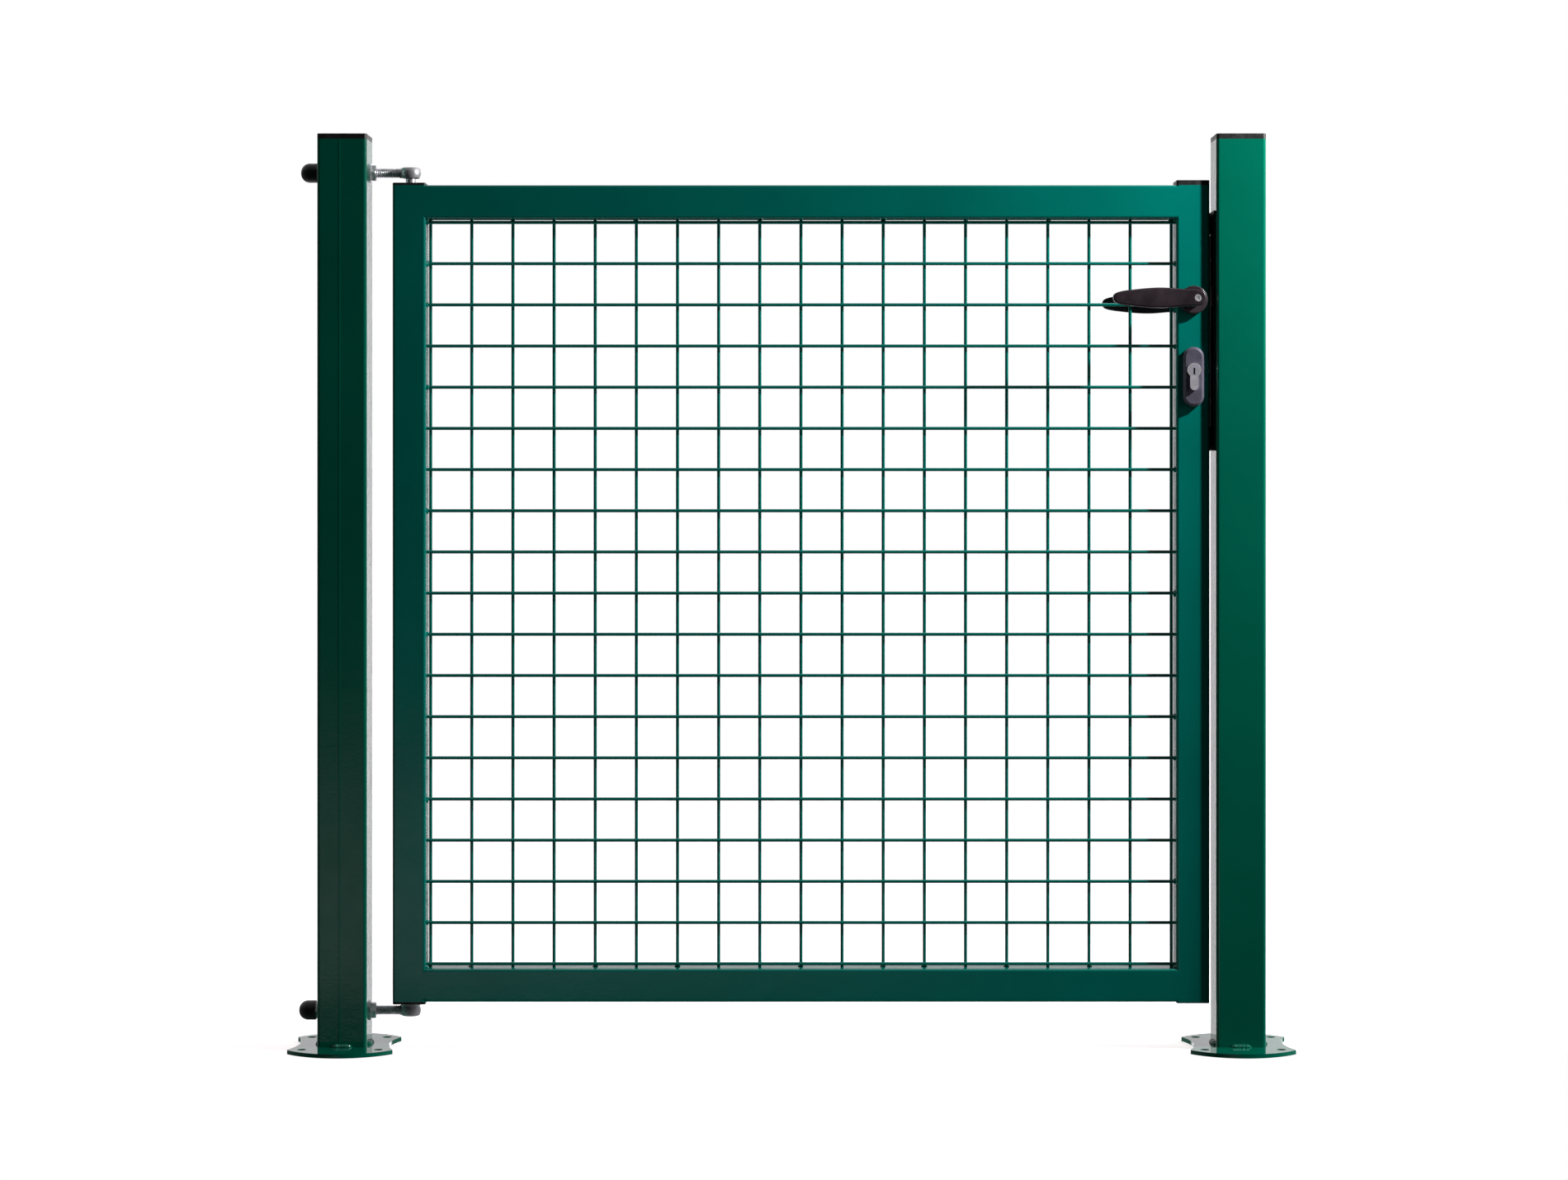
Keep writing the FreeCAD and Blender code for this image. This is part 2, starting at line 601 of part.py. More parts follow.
def leaf_plugs():
    """Caps in the ends of both stiles, by node name."""
    bore_d = PIN_D + 4 * PIN_RUNNING_CLEARANCE
    pin_plug = tube_cap(TUBE, TUBE_WALL, TUBE_CORNER, PIN_PLUG_HEAD, PIN_PLUG_EDGE, bore_d)
    top_cap = tube_cap(TUBE, TUBE_WALL, TUBE_CORNER, LEAF_CAP_HEAD, LEAF_CAP_EDGE)
    flush_plug = tube_cap(TUBE, TUBE_WALL, TUBE_CORNER, LATCH_PLUG_HEAD, LATCH_PLUG_EDGE)
    return {
        "hinge_stile_top_plug": moved(pin_plug, HINGE_X, 0, LEAF_TOP),
        "hinge_stile_bottom_plug": moved(turned(pin_plug, ALONG_X, 180), HINGE_X, 0, LEAF_BOTTOM),
        "latch_stile_top_cap": moved(top_cap, LOCK_X, 0, LEAF_TOP),
        "latch_stile_bottom_plug": moved(turned(flush_plug, ALONG_X, 180), LOCK_X, 0, LEAF_BOTTOM),
    }


# ----------------------------------------------------------------------- lock

def euro_profile(grow, half_length):
    """The cylinder's outline, grown all round, from -half_length to half_length in Y."""
    length = 2 * half_length
    y = -half_length
    core = rod(CORE_D + 2 * grow, Vector(LOCK_X, y, CYLINDER_Z), ALONG_Y, length)
    tail = rod(TAIL_WIDTH + 2 * grow, Vector(LOCK_X, y, TAIL_Z), ALONG_Y, length)
    half = TAIL_WIDTH / 2 + grow
    neck = block(LOCK_X - half, LOCK_X + half, y, half_length, TAIL_Z, CYLINDER_Z)
    return core.fuse(tail).fuse(neck).removeSplitter()


def screw_hole(head_place):
    hole = countersunk_hole(SCREW_LENGTH + SCREW_HOLE_SPARE, SCREW_D, SCREW_HEAD_D)
    return moved(hole, head_place.x, head_place.y, head_place.z)


def forend_screw_heights():
    return (SPINDLE_Z - FOREND_BELOW_SPINDLE + FOREND_SCREW_INSET,
            SPINDLE_Z + FOREND_ABOVE_SPINDLE - FOREND_SCREW_INSET)


def escutcheon_screw_heights():
    reach = ESCUTCHEON_HEIGHT / 2 - ESCUTCHEON_SCREW_INSET
    return (ESCUTCHEON_Z - reach, ESCUTCHEON_Z + reach)


def follower_hole():
    hole_d = FOLLOWER_COLLAR_D + 2 * PLUG_CLEARANCE
    return rod(hole_d, Vector(LOCK_X, -LEAF_FACE, SPINDLE_Z), ALONG_Y, 2 * LEAF_FACE)


def lock_case():
    """Tray with its back wall towards the leaf, open at the forend and at its cover."""
    half = CASE_THICKNESS / 2
    low = SPINDLE_Z - CASE_BELOW_SPINDLE
    high = SPINDLE_Z + CASE_ABOVE_SPINDLE
    tray = block(CASE_BACK, LEAF_RIGHT, -half + CASE_WALL, half, low, high)
    tray = tray.cut(block(CASE_INSIDE, LEAF_RIGHT, -half + CASE_WALL, half - CASE_WALL,
                          low + CASE_WALL, high - CASE_WALL))
    return tray.cut(follower_hole()).cut(euro_profile(SLIDE_CLEARANCE, LEAF_FACE))


def lock_cover():
    half = CASE_THICKNESS / 2
    sheet = block(CASE_BACK, LEAF_RIGHT, -half, -half + CASE_WALL,
                  SPINDLE_Z - CASE_BELOW_SPINDLE, SPINDLE_Z + CASE_ABOVE_SPINDLE)
    return sheet.cut(follower_hole()).cut(euro_profile(SLIDE_CLEARANCE, LEAF_FACE))


def bolt_window(thickness, low, height):
    """Opening in the forend for a bolt of that section."""
    half = thickness / 2 + SLIDE_CLEARANCE
    return block(LEAF_RIGHT, FOREND_OUTER, -half, half,
                 low - SLIDE_CLEARANCE, low + height + SLIDE_CLEARANCE)


def forend():
    half = FOREND_WIDTH / 2
    plate = block(LEAF_RIGHT, FOREND_OUTER, -half, half,
                  SPINDLE_Z - FOREND_BELOW_SPINDLE, SPINDLE_Z + FOREND_ABOVE_SPINDLE)
    plate = plate.makeFillet(FOREND_CORNER, edges_along(plate, ALONG_X))
    plate = plate.cut(bolt_window(LATCH_BOLT_THICKNESS, SPINDLE_Z + LATCH_BOLT_BOTTOM,
                                  LATCH_BOLT_HEIGHT))
    plate = plate.cut(bolt_window(DEADBOLT_THICKNESS, DEADBOLT_Z - DEADBOLT_HEIGHT / 2,
                                  DEADBOLT_HEIGHT))
    for z in forend_screw_heights():
        plate = plate.cut(screw_hole(Vector(FOREND_OUTER, 0, z)))
    hole = countersunk_hole(TUBE, M5, M5_HEAD_D)
    return plate.cut(moved(hole, FOREND_OUTER, 0, TAIL_Z))


def forend_screws():
    screw = countersunk_screw(SCREW_LENGTH, SCREW_D, SCREW_HEAD_D)
    return Part.makeCompound([moved(screw, FOREND_OUTER, 0, z) for z in forend_screw_heights()])


def cylinder_screw():
    screw = countersunk_screw(FOREND_OUTER - LOCK_X + CYLINDER_SCREW_GRIP, M5, M5_HEAD_D)
    return moved(screw, FOREND_OUTER, 0, TAIL_Z)


def cylinder_body():
    body = euro_profile(0.0, CYLINDER_HALF)
    bore_d = PLUG_D + 2 * PLUG_CLEARANCE
    start = Vector(LOCK_X, -CYLINDER_HALF, CYLINDER_Z)
    body = body.cut(rod(bore_d, start, ALONG_Y, 2 * CYLINDER_HALF))
    relief_d = 2 * (CAM_REACH + CAM_CLEARANCE)
    relief_width = CAM_THICKNESS + 2 * PLUG_CLEARANCE
    relief = rod(relief_d, Vector(LOCK_X, -relief_width / 2, CYLINDER_Z), ALONG_Y, relief_width)
    thread_d = M5 + 2 * SCREW_CLEARANCE
    thread = rod(thread_d, Vector(LOCK_X - TAIL_WIDTH, 0, TAIL_Z), ALONG_X, 2 * TAIL_WIDTH)
    return body.cut(relief).cut(thread)


def key_plug(side):
    """Half of the turning plug, on the front (-1) or the back (1)."""
    length = CYLINDER_HALF - CAM_THICKNESS / 2
    plug = rod(PLUG_D, Vector(LOCK_X, CAM_THICKNESS / 2, CYLINDER_Z), ALONG_Y, length)
    half = KEYWAY_WIDTH / 2
    low = CYLINDER_Z - PLUG_D / 2 + KEYWAY_FLOOR
    keyway = block(LOCK_X - half, LOCK_X + half, CYLINDER_HALF - KEYWAY_DEPTH, CYLINDER_HALF,
                   low, low + KEYWAY_HEIGHT)
    plug = plug.cut(keyway)
    return mirrored_in_y(plug) if side < 0 else plug


def cam():
    half = CAM_THICKNESS / 2
    lobe = block(LOCK_X - CAM_LOBE_WIDTH / 2, LOCK_X + CAM_LOBE_WIDTH / 2, -half, half,
                 CYLINDER_Z - CAM_REACH, CYLINDER_Z)
    sweep = rod(2 * CAM_REACH, Vector(LOCK_X, -half, CYLINDER_Z), ALONG_Y, CAM_THICKNESS)
    hub = rod(CAM_RING_D, Vector(LOCK_X, -half, CYLINDER_Z), ALONG_Y, CAM_THICKNESS)
    return hub.fuse(lobe.common(sweep)).removeSplitter()


def deadbolt():
    half = DEADBOLT_THICKNESS / 2
    body = block(FOREND_OUTER - DEADBOLT_LENGTH, FOREND_OUTER, -half, half,
                 DEADBOLT_Z - DEADBOLT_HEIGHT / 2, DEADBOLT_Z + DEADBOLT_HEIGHT / 2)
    return body.makeChamfer(DEADBOLT_CHAMFER, edges_at(body, ALONG_X, FOREND_OUTER))


def cross_pin_place():
    """Rest place and height of the latch's cross pin, so that the nose can push it.

    The follower's nose turns by LEVER_ANGLE while the latch draws back at an even
    rate, and the pin stays just clear of the nose's leading face all the way.
    """
    first = math.radians(NOSE_REST_ANGLE)
    last = math.radians(NOSE_REST_ANGLE + LEVER_ANGLE)
    offset = NOSE_WIDTH / 2 + CROSS_PIN_D / 2 + SLIDE_CLEARANCE
    fall = offset * (1 / math.sin(first) - 1 / math.sin(last))
    height = (LATCH_THROW + fall) / (1 / math.tan(first) - 1 / math.tan(last))
    steps = 40
    places = []
    for step in range(steps + 1):
        part = step / steps
        angle = first + (last - first) * part
        reach = height / math.tan(angle) - offset / math.sin(angle)
        places.append(reach + LATCH_THROW * part)
    return LOCK_X + min(places), SPINDLE_Z + height


def latch_bolt():
    """Bevelled head in the forend, and two cheeks that carry the cross pin."""
    low = SPINDLE_Z + LATCH_BOLT_BOTTOM
    high = low + LATCH_BOLT_HEIGHT
    half = LATCH_BOLT_THICKNESS / 2
    tip = FOREND_OUTER + LATCH_THROW
    points = [Vector(LEAF_RIGHT, -half, low), Vector(tip, -half, low),
              Vector(tip, -half + LATCH_TIP_FLAT, low),
              Vector(FOREND_OUTER + LATCH_BEVEL_START, half, low),
              Vector(LEAF_RIGHT, half, low), Vector(LEAF_RIGHT, -half, low)]
    head = Part.Face(Part.makePolygon(points)).extrude(Vector(0, 0, LATCH_BOLT_HEIGHT))
    pin_x, pin_z = cross_pin_place()
    cheek_low = SPINDLE_Z + LATCH_CHEEK_BOTTOM
    cheek_end = pin_x - CROSS_PIN_D / 2 - LATCH_CHEEK_PAST_PIN
    bolt = head
    for y in (-half, half - LATCH_CHEEK):
        bolt = bolt.fuse(block(cheek_end, LEAF_RIGHT, y, y + LATCH_CHEEK, cheek_low, high))
    pin = rod(CROSS_PIN_D, Vector(pin_x, -half, pin_z), ALONG_Y, LATCH_BOLT_THICKNESS)
    return bolt.fuse(pin).removeSplitter()


def latch_spring():
    """Coil between the case's back wall and the cross pin."""
    pin_x, pin_z = cross_pin_place()
    start = CASE_INSIDE + SPRING_WIRE_D / 2 + SPRING_END_GAP
    end = pin_x - CROSS_PIN_D / 2 - SPRING_WIRE_D / 2 - SPRING_END_GAP
    pitch = (end - start) / SPRING_TURNS
    helix = Part.Wire(Part.makeHelix(pitch, end - start, SPRING_RADIUS))
    section = Part.makeCircle(SPRING_WIRE_D / 2, Vector(SPRING_RADIUS, 0, 0), ALONG_Y)
    coil = helix.makePipeShell([Part.Wire(section)], True, True)
    return moved(turned(coil, ALONG_Y, 90), start, 0, pin_z)


def square_bar(width, y0, y1):
    half = width / 2
    return block(LOCK_X - half, LOCK_X + half, y0, y1, SPINDLE_Z - half, SPINDLE_Z + half)


def follower():
    """Hub that the spindle turns, with the nose that draws the latch."""
    half = FOLLOWER_CORE_THICKNESS / 2
    hub = rod(FOLLOWER_CORE_D, Vector(LOCK_X, -half, SPINDLE_Z), ALONG_Y, FOLLOWER_CORE_THICKNESS)
    collar_half = CASE_THICKNESS / 2
    collar = rod(FOLLOWER_COLLAR_D, Vector(LOCK_X, -collar_half, SPINDLE_Z), ALONG_Y, CASE_THICKNESS)
    nose_height = cross_pin_place()[1] - SPINDLE_Z
    nose_end = nose_height + NOSE_WIDTH / 2 + NOSE_PAST_PIN
    nose = block(0, nose_end, -half, half, -NOSE_WIDTH / 2, NOSE_WIDTH / 2)
    nose = moved(turned(nose, ALONG_Y, -NOSE_REST_ANGLE), LOCK_X, 0, SPINDLE_Z)
    body = hub.fuse(collar).fuse(nose).removeSplitter()
    return body.cut(square_bar(SPINDLE + 2 * SOCKET_CLEARANCE, -BIG, BIG))


# ------------------------------------------------------------------ furniture

def escutcheon(side):
    """Bevelled oval plate round the cylinder, on the front (-1) or the back (1)."""
    half = ESCUTCHEON_WIDTH / 2
    straight = ESCUTCHEON_HEIGHT / 2 - half
    plate = block(LOCK_X - half, LOCK_X + half, LEAF_FACE, LEAF_FACE + ESCUTCHEON_THICKNESS,
                  ESCUTCHEON_Z - straight, ESCUTCHEON_Z + straight)
    for z in (ESCUTCHEON_Z - straight, ESCUTCHEON_Z + straight):
        plate = plate.fuse(rod(ESCUTCHEON_WIDTH, Vector(LOCK_X, LEAF_FACE, z), ALONG_Y,
                               ESCUTCHEON_THICKNESS))
    plate = plate.removeSplitter()
    outer = LEAF_FACE + ESCUTCHEON_THICKNESS
    plate = plate.makeChamfer(ESCUTCHEON_BEVEL, edges_at(plate, ALONG_Y, outer))
    plate = plate.cut(euro_profile(SLIDE_CLEARANCE, CYLINDER_HALF))
    if side < 0:
        return mirrored_in_y(plate)
    for z in escutcheon_screw_heights():
        hole = turned(countersunk_hole(TUBE, SCREW_D, SMALL_HEAD_D), ALONG_Z, 90)
        plate = plate.cut(moved(hole, LOCK_X, outer, z))
    return plate


def escutcheon_screws():
    screw = turned(countersunk_screw(ESCUTCHEON_SCREW_LENGTH, SCREW_D, SMALL_HEAD_D),
                   ALONG_Z, 90)
    outer = LEAF_FACE + ESCUTCHEON_THICKNESS
    return Part.makeCompound([moved(screw, LOCK_X, outer, z) for z in escutcheon_screw_heights()])


def rosette(side):
    """Round rose that carries the lever's neck in its recess."""
    outer = LEAF_FACE + ROSETTE_THICKNESS
    disc = rod(ROSETTE_D, Vector(LOCK_X, LEAF_FACE, SPINDLE_Z), ALONG_Y, ROSETTE_THICKNESS)
    disc = disc.makeFillet(ROSETTE_EDGE, edges_at(disc, ALONG_Y, outer))
    seat_d = NECK_D + 2 * NECK_CLEARANCE
    disc = disc.cut(rod(seat_d, Vector(LOCK_X, outer - ROSETTE_SEAT, SPINDLE_Z), ALONG_Y, ROSETTE_SEAT))
    disc = disc.cut(rod(ROSETTE_BORE_D, Vector(LOCK_X, 0, SPINDLE_Z), ALONG_Y, outer))
    return mirrored_in_y(disc) if side < 0 else disc


def lever_outline():
    """Leaf-shaped outline about the hub, its tip towards -X."""
    shoulder = (LEVER_SHOULDER[0] * LEVER_HUB_R, LEVER_SHOULDER[1] * LEVER_HUB_R)
    upper = [(LEVER_HUB_R, 0.0), shoulder, *LEVER_EDGE_POINTS, (-LEVER_TIP, 0.0)]
    lower = [(x, -z) for x, z in reversed(upper[1:-1])]
    curve = Part.BSplineCurve()
    curve.interpolate(Points=[Vector(x, 0, z) for x, z in upper + lower], PeriodicFlag=True)
    return Part.Wire(curve.toShape())


def lever(side):
    """Blade, neck and square socket of one lever, on the front (-1) or the back (1)."""
    outer = LEAF_FACE + LEVER_REACH
    inner = outer - LEVER_THICKNESS
    blade = Part.Face(lever_outline()).extrude(Vector(0, LEVER_THICKNESS, 0))
    blade = blade.makeFillet(LEVER_EDGE, edges_at(blade, ALONG_Y, LEVER_THICKNESS))
    blade = moved(blade, LOCK_X, inner, SPINDLE_Z)
    neck_start = LEAF_FACE + ROSETTE_THICKNESS - ROSETTE_SEAT + SLIDE_CLEARANCE
    neck = rod(NECK_D, Vector(LOCK_X, neck_start, SPINDLE_Z), ALONG_Y, inner - neck_start + NECK_INTO_BLADE)
    body = blade.fuse(neck).removeSplitter()
    body = body.cut(square_bar(SPINDLE + 2 * SOCKET_CLEARANCE, neck_start, SPINDLE_END))
    body = body.cut(rod(M5 + 2 * SCREW_CLEARANCE, Vector(LOCK_X, 0, SPINDLE_Z), ALONG_Y, outer))
    recess = M5_HEAD_D + 2 * SCREW_CLEARANCE
    body = body.cut(rod(recess, Vector(LOCK_X, outer - LEVER_SCREW_RECESS, SPINDLE_Z), ALONG_Y,
                        LEVER_SCREW_RECESS))
    return mirrored_in_y(body) if side < 0 else body


def spindle():
    bar = square_bar(SPINDLE, -SPINDLE_END, SPINDLE_END)
    depth = LEVER_SCREW_GRIP + LEVER_SCREW_SPARE
    for side in (-1, 1):
        start = Vector(LOCK_X, side * (SPINDLE_END - depth), SPINDLE_Z)
        bar = bar.cut(rod(M5 + 2 * SCREW_CLEARANCE, start, ALONG_Y * side, depth))
    return bar


def lever_screws():
    """Socket screws that hold the levers on the spindle."""
    seat = LEAF_FACE + LEVER_REACH - LEVER_SCREW_RECESS
    start = SPINDLE_END - LEVER_SCREW_GRIP
    head = rod(M5_HEAD_D, Vector(LOCK_X, seat, SPINDLE_Z), ALONG_Y, LEVER_SCREW_HEAD)
    shank = rod(M5, Vector(LOCK_X, start, SPINDLE_Z), ALONG_Y, seat - start)
    socket_base = seat + LEVER_SCREW_HEAD - HEX_SOCKET_DEPTH
    points = []
    for step in range(7):
        angle = math.radians(60 * step)
        points.append(Vector(LOCK_X + HEX_SOCKET_R * math.cos(angle), socket_base,
                             SPINDLE_Z + HEX_SOCKET_R * math.sin(angle)))
    socket = Part.Face(Part.makePolygon(points)).extrude(Vector(0, HEX_SOCKET_DEPTH, 0))
    screw = head.fuse(shank).removeSplitter().cut(socket)
    return Part.makeCompound([screw, mirrored_in_y(screw)])


# --------------------------------------------------------------------- keeper

def keeper():
    """Angle with its screwed flange on the post and its stop behind the leaf."""
    back = STOP_Y + KEEPER_THICKNESS
    flange = block(KEEPER_INNER, LATCH_FACE, -STOP_Y, back, KEEPER_BOTTOM, KEEPER_TOP)
    stop = block(LATCH_FACE - KEEPER_STOP_WIDTH, LATCH_FACE, STOP_Y, back, KEEPER_BOTTOM, KEEPER_TOP)
    body = flange.fuse(stop).removeSplitter()
    body = body.makeFillet(KEEPER_BEND, outer_corner(body, back))
    body = body.cut(block(LATCH_FACE - KEEPER_STOP_WIDTH, LATCH_FACE - KEEPER_NARROW, STOP_Y, back,
                          KEEPER_BOTTOM + KEEPER_TAB, SPINDLE_Z + KEEPER_UPPER_TAB_START))
    half = SLOT_WIDTH / 2
    for low, high in keeper_slots():
        body = body.cut(block(KEEPER_INNER, LATCH_FACE, -half, half, low, high))
    for z in keeper_screw_heights():
        body = body.cut(moved(keeper_screw_shape(countersunk_hole), KEEPER_INNER, 0, z))
    return body


def outer_corner(body, back):
    return [edge for edge in edges_along(body, ALONG_Z)
            if abs(edge.Vertexes[0].X - LATCH_FACE) < SAME_PLACE
            and abs(edge.Vertexes[0].Y - back) < SAME_PLACE]


def keeper_screw_shape(maker):
    """Screw or screw hole along +X, its head at the origin."""
    return turned(maker(SCREW_LENGTH, SCREW_D, SCREW_HEAD_D), ALONG_Z, 180)


def keeper_screws():
    screw = keeper_screw_shape(countersunk_screw)
    return Part.makeCompound([moved(screw, KEEPER_INNER, 0, z) for z in keeper_screw_heights()])


def keeper_buffers():
    """Rubber pads on the stop's two tabs, just clear of the leaf's back face."""
    left = LATCH_FACE - KEEPER_STOP_WIDTH + BUFFER_INSET
    right = LEAF_RIGHT - BUFFER_INSET
    tabs = ((KEEPER_BOTTOM, KEEPER_BOTTOM + KEEPER_TAB),
            (SPINDLE_Z + KEEPER_UPPER_TAB_START, KEEPER_TOP))
    pads = []
    for low, high in tabs:
        pads.append(block(left, right, LEAF_FACE + BUFFER_GAP, STOP_Y,
                          low + BUFFER_INSET, high - BUFFER_INSET))
    return Part.makeCompound(pads)


# ------------------------------------------------------------------- assembly

def all_nodes():
    nodes = {
        "hinge_post": hinge_post(),
        "latch_post": latch_post(),
        "hinge_post_plate": base_plate(-POST_X),
        "latch_post_plate": base_plate(POST_X),
        "hinge_post_cap": post_cap(-POST_X),
        "latch_post_cap": post_cap(POST_X),
        "foot_welds": foot_welds(),
        "top_eye_bolt": eye_bolt(TOP_EYE_Z),
        "bottom_eye_bolt": eye_bolt(BOTTOM_EYE_Z),
        "keeper": keeper(),
        "keeper_screws": keeper_screws(),
        "keeper_buffers": keeper_buffers(),
        "hinge_stile": stile(HINGE_X),
        "latch_stile": latch_stile(),
        "top_rail": rail(LEAF_TOP - TUBE / 2),
        "bottom_rail": rail(LEAF_BOTTOM + TUBE / 2),
        "frame_welds": frame_welds(),
        "mesh_horizontal_wires": mesh_wires(ALONG_X),
        "mesh_vertical_wires": mesh_wires(ALONG_Z),
        "thrust_washer": thrust_washer(),
        "lock_case": lock_case(),
        "lock_cover": lock_cover(),
        "forend": forend(),
        "forend_screws": forend_screws(),
        "cylinder_body": cylinder_body(),
        "cylinder_screw": cylinder_screw(),
        "front_escutcheon": escutcheon(-1),
        "back_escutcheon": escutcheon(1),
        "escutcheon_screws": escutcheon_screws(),
        "front_rosette": rosette(-1),
        "back_rosette": rosette(1),
        "front_lever": lever(-1),
        "back_lever": lever(1),
        "spindle": spindle(),
        "lever_screws": lever_screws(),
        "follower": follower(),
        "latch_bolt": latch_bolt(),
        "latch_spring": latch_spring(),
        "deadbolt": deadbolt(),
        "front_plug": key_plug(-1),
        "back_plug": key_plug(1),
        "cam": cam(),
    }
    nodes.update(hinge_hardware())
    nodes.update(pin_blocks_and_pins())
    nodes.update(leaf_plugs())
    return nodes


def main():
    os.makedirs("parts", exist_ok=True)
    for name, shape in all_nodes().items():
        solids = shape.Solids
        print(name, len(solids), round(shape.Volume, 1), shape.isValid())
        if len(solids) == 1:
            shape = solids[0]
        shape.exportStep("parts/" + name + ".step")


main()
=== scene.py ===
import json
import math
import random

import bmesh
import bpy
from mathutils import Matrix, Vector, noise


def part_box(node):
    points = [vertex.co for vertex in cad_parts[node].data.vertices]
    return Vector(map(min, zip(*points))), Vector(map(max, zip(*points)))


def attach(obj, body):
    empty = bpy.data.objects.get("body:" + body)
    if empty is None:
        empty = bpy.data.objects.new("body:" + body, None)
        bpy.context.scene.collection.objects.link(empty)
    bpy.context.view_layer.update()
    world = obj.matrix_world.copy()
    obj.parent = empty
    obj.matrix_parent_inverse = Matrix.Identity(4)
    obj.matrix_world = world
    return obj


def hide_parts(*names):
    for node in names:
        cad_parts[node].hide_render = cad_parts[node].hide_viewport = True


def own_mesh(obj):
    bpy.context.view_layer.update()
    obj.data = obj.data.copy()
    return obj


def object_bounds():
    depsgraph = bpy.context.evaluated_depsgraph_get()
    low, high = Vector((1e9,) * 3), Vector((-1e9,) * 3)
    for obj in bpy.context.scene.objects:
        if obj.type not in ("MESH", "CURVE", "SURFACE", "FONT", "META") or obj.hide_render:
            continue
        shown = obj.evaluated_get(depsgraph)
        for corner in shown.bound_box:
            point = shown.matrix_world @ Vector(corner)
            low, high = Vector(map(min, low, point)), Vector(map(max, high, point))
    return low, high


# The looks of a pen gate: powder-coated tubes and mesh, zinc-plated hinges, black furniture.
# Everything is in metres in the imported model's frame; the places come from the model's boxes.

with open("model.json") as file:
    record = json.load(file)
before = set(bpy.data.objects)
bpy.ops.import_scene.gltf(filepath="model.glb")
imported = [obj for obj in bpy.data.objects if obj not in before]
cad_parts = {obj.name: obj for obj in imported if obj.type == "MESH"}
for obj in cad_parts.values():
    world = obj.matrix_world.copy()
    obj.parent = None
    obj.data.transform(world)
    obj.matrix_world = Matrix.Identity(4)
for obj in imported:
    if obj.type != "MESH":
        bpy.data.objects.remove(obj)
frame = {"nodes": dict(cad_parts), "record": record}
CAD_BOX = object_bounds()
NODES = frame["nodes"]
TAU = 2 * math.pi
MM = 0.001


def box(node):
    low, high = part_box(node)
    return Vector(low), Vector(high)


def middle(node):
    low, high = box(node)
    return (low + high) / 2


HINGE_POST = box("hinge_post")
LATCH_POST = box("latch_post")
HINGE_STILE = box("hinge_stile")
TOP_RAIL = box("top_rail")
BOTTOM_RAIL = box("bottom_rail")
PLATE_TOP = box("hinge_post_plate")[1].z
LEAF_FRONT = HINGE_STILE[0].y
LEAF_BACK = HINGE_STILE[1].y


# ------------------------------------------------------------------ materials

MIX_COLOR_INPUTS = (6, 7)    # a Mix node's two colours and its result, by socket number
MIX_COLOR_OUTPUT = 2


class Shading:
    """One material's node tree, with short calls for the nodes that these looks use."""

    def __init__(self, name):
        self.material = bpy.data.materials.new(name)
        self.material.use_nodes = True
        self.tree = self.material.node_tree
        self.shader = self.tree.nodes["Principled BSDF"]
        coordinates = self.tree.nodes.new("ShaderNodeTexCoord")
        self.place = coordinates.outputs["Object"]

    def node(self, kind, inputs=None, **settings):
        made = self.tree.nodes.new(kind)
        for key, value in settings.items():
            setattr(made, key, value)
        for key, value in (inputs or {}).items():
            if isinstance(value, bpy.types.NodeSocket):
                self.tree.links.new(value, made.inputs[key])
            else:
                made.inputs[key].default_value = value
        return made

    def noise(self, scale, detail=3.0, roughness=0.5, place=None):
        inputs = {"Vector": place or self.place, "Scale": scale, "Detail": detail,
                  "Roughness": roughness}
        return self.node("ShaderNodeTexNoise", inputs).outputs["Fac"]

    def stretched(self, x, y, z):
        inputs = {"Vector": self.place, "Scale": (x, y, z)}
        return self.node("ShaderNodeMapping", inputs).outputs["Vector"]

    def spread(self, value, low, high, start=0.3, stop=0.7):
        inputs = {"Value": value, "From Min": start, "From Max": stop, "To Min": low, "To Max": high}
        return self.node("ShaderNodeMapRange", inputs).outputs["Result"]

    def maths(self, operation, first, second=0.0):
        made = self.node("ShaderNodeMath", {0: first, 1: second}, operation=operation)
        return made.outputs["Value"]

    def blend(self, factor, first, second):
        mixer = self.node("ShaderNodeMix", {"Factor": factor}, data_type="RGBA")
        for index, value in zip(MIX_COLOR_INPUTS, (first, second)):
            if isinstance(value, bpy.types.NodeSocket):
                self.tree.links.new(value, mixer.inputs[index])
            else:
                mixer.inputs[index].default_value = (*value, 1.0)
        return mixer.outputs[MIX_COLOR_OUTPUT]

    def bump(self, height, distance, strength=1.0, normal=None):
        inputs = {"Height": height, "Distance": distance, "Strength": strength}
        if normal:
            inputs["Normal"] = normal
        return self.node("ShaderNodeBump", inputs).outputs["Normal"]

    def set(self, **values):
        names = {"color": "Base Color", "coat": "Coat Weight", "coat_roughness": "Coat Roughness",
                 "specular": "Specular IOR Level", "normal": "Normal", "roughness": "Roughness",
                 "metallic": "Metallic"}
        for key, value in values.items():
            socket = self.shader.inputs[names[key]]
            if isinstance(value, bpy.types.NodeSocket):
                self.tree.links.new(value, socket)
            elif key == "color":
                socket.default_value = (*value, 1.0)
            else:
                socket.default_value = value
        return self.material


THIN_COAT, THICK_COAT, PALE_SPECK = 0.93, 1.07, 1.5    # shares of the coat's colour
SPECK_STRENGTH = 0.25
PEEL_SCALE = (210.0, 210.0, 380.0)    # the orange peel's cells are wider than high
PEEL_HEIGHT = 0.16 * MM
WAVE_HEIGHT = 0.6 * MM
TUBE_SEAM_HALF = 1.6 * MM
TUBE_SEAM_HEIGHT = 0.25 * MM


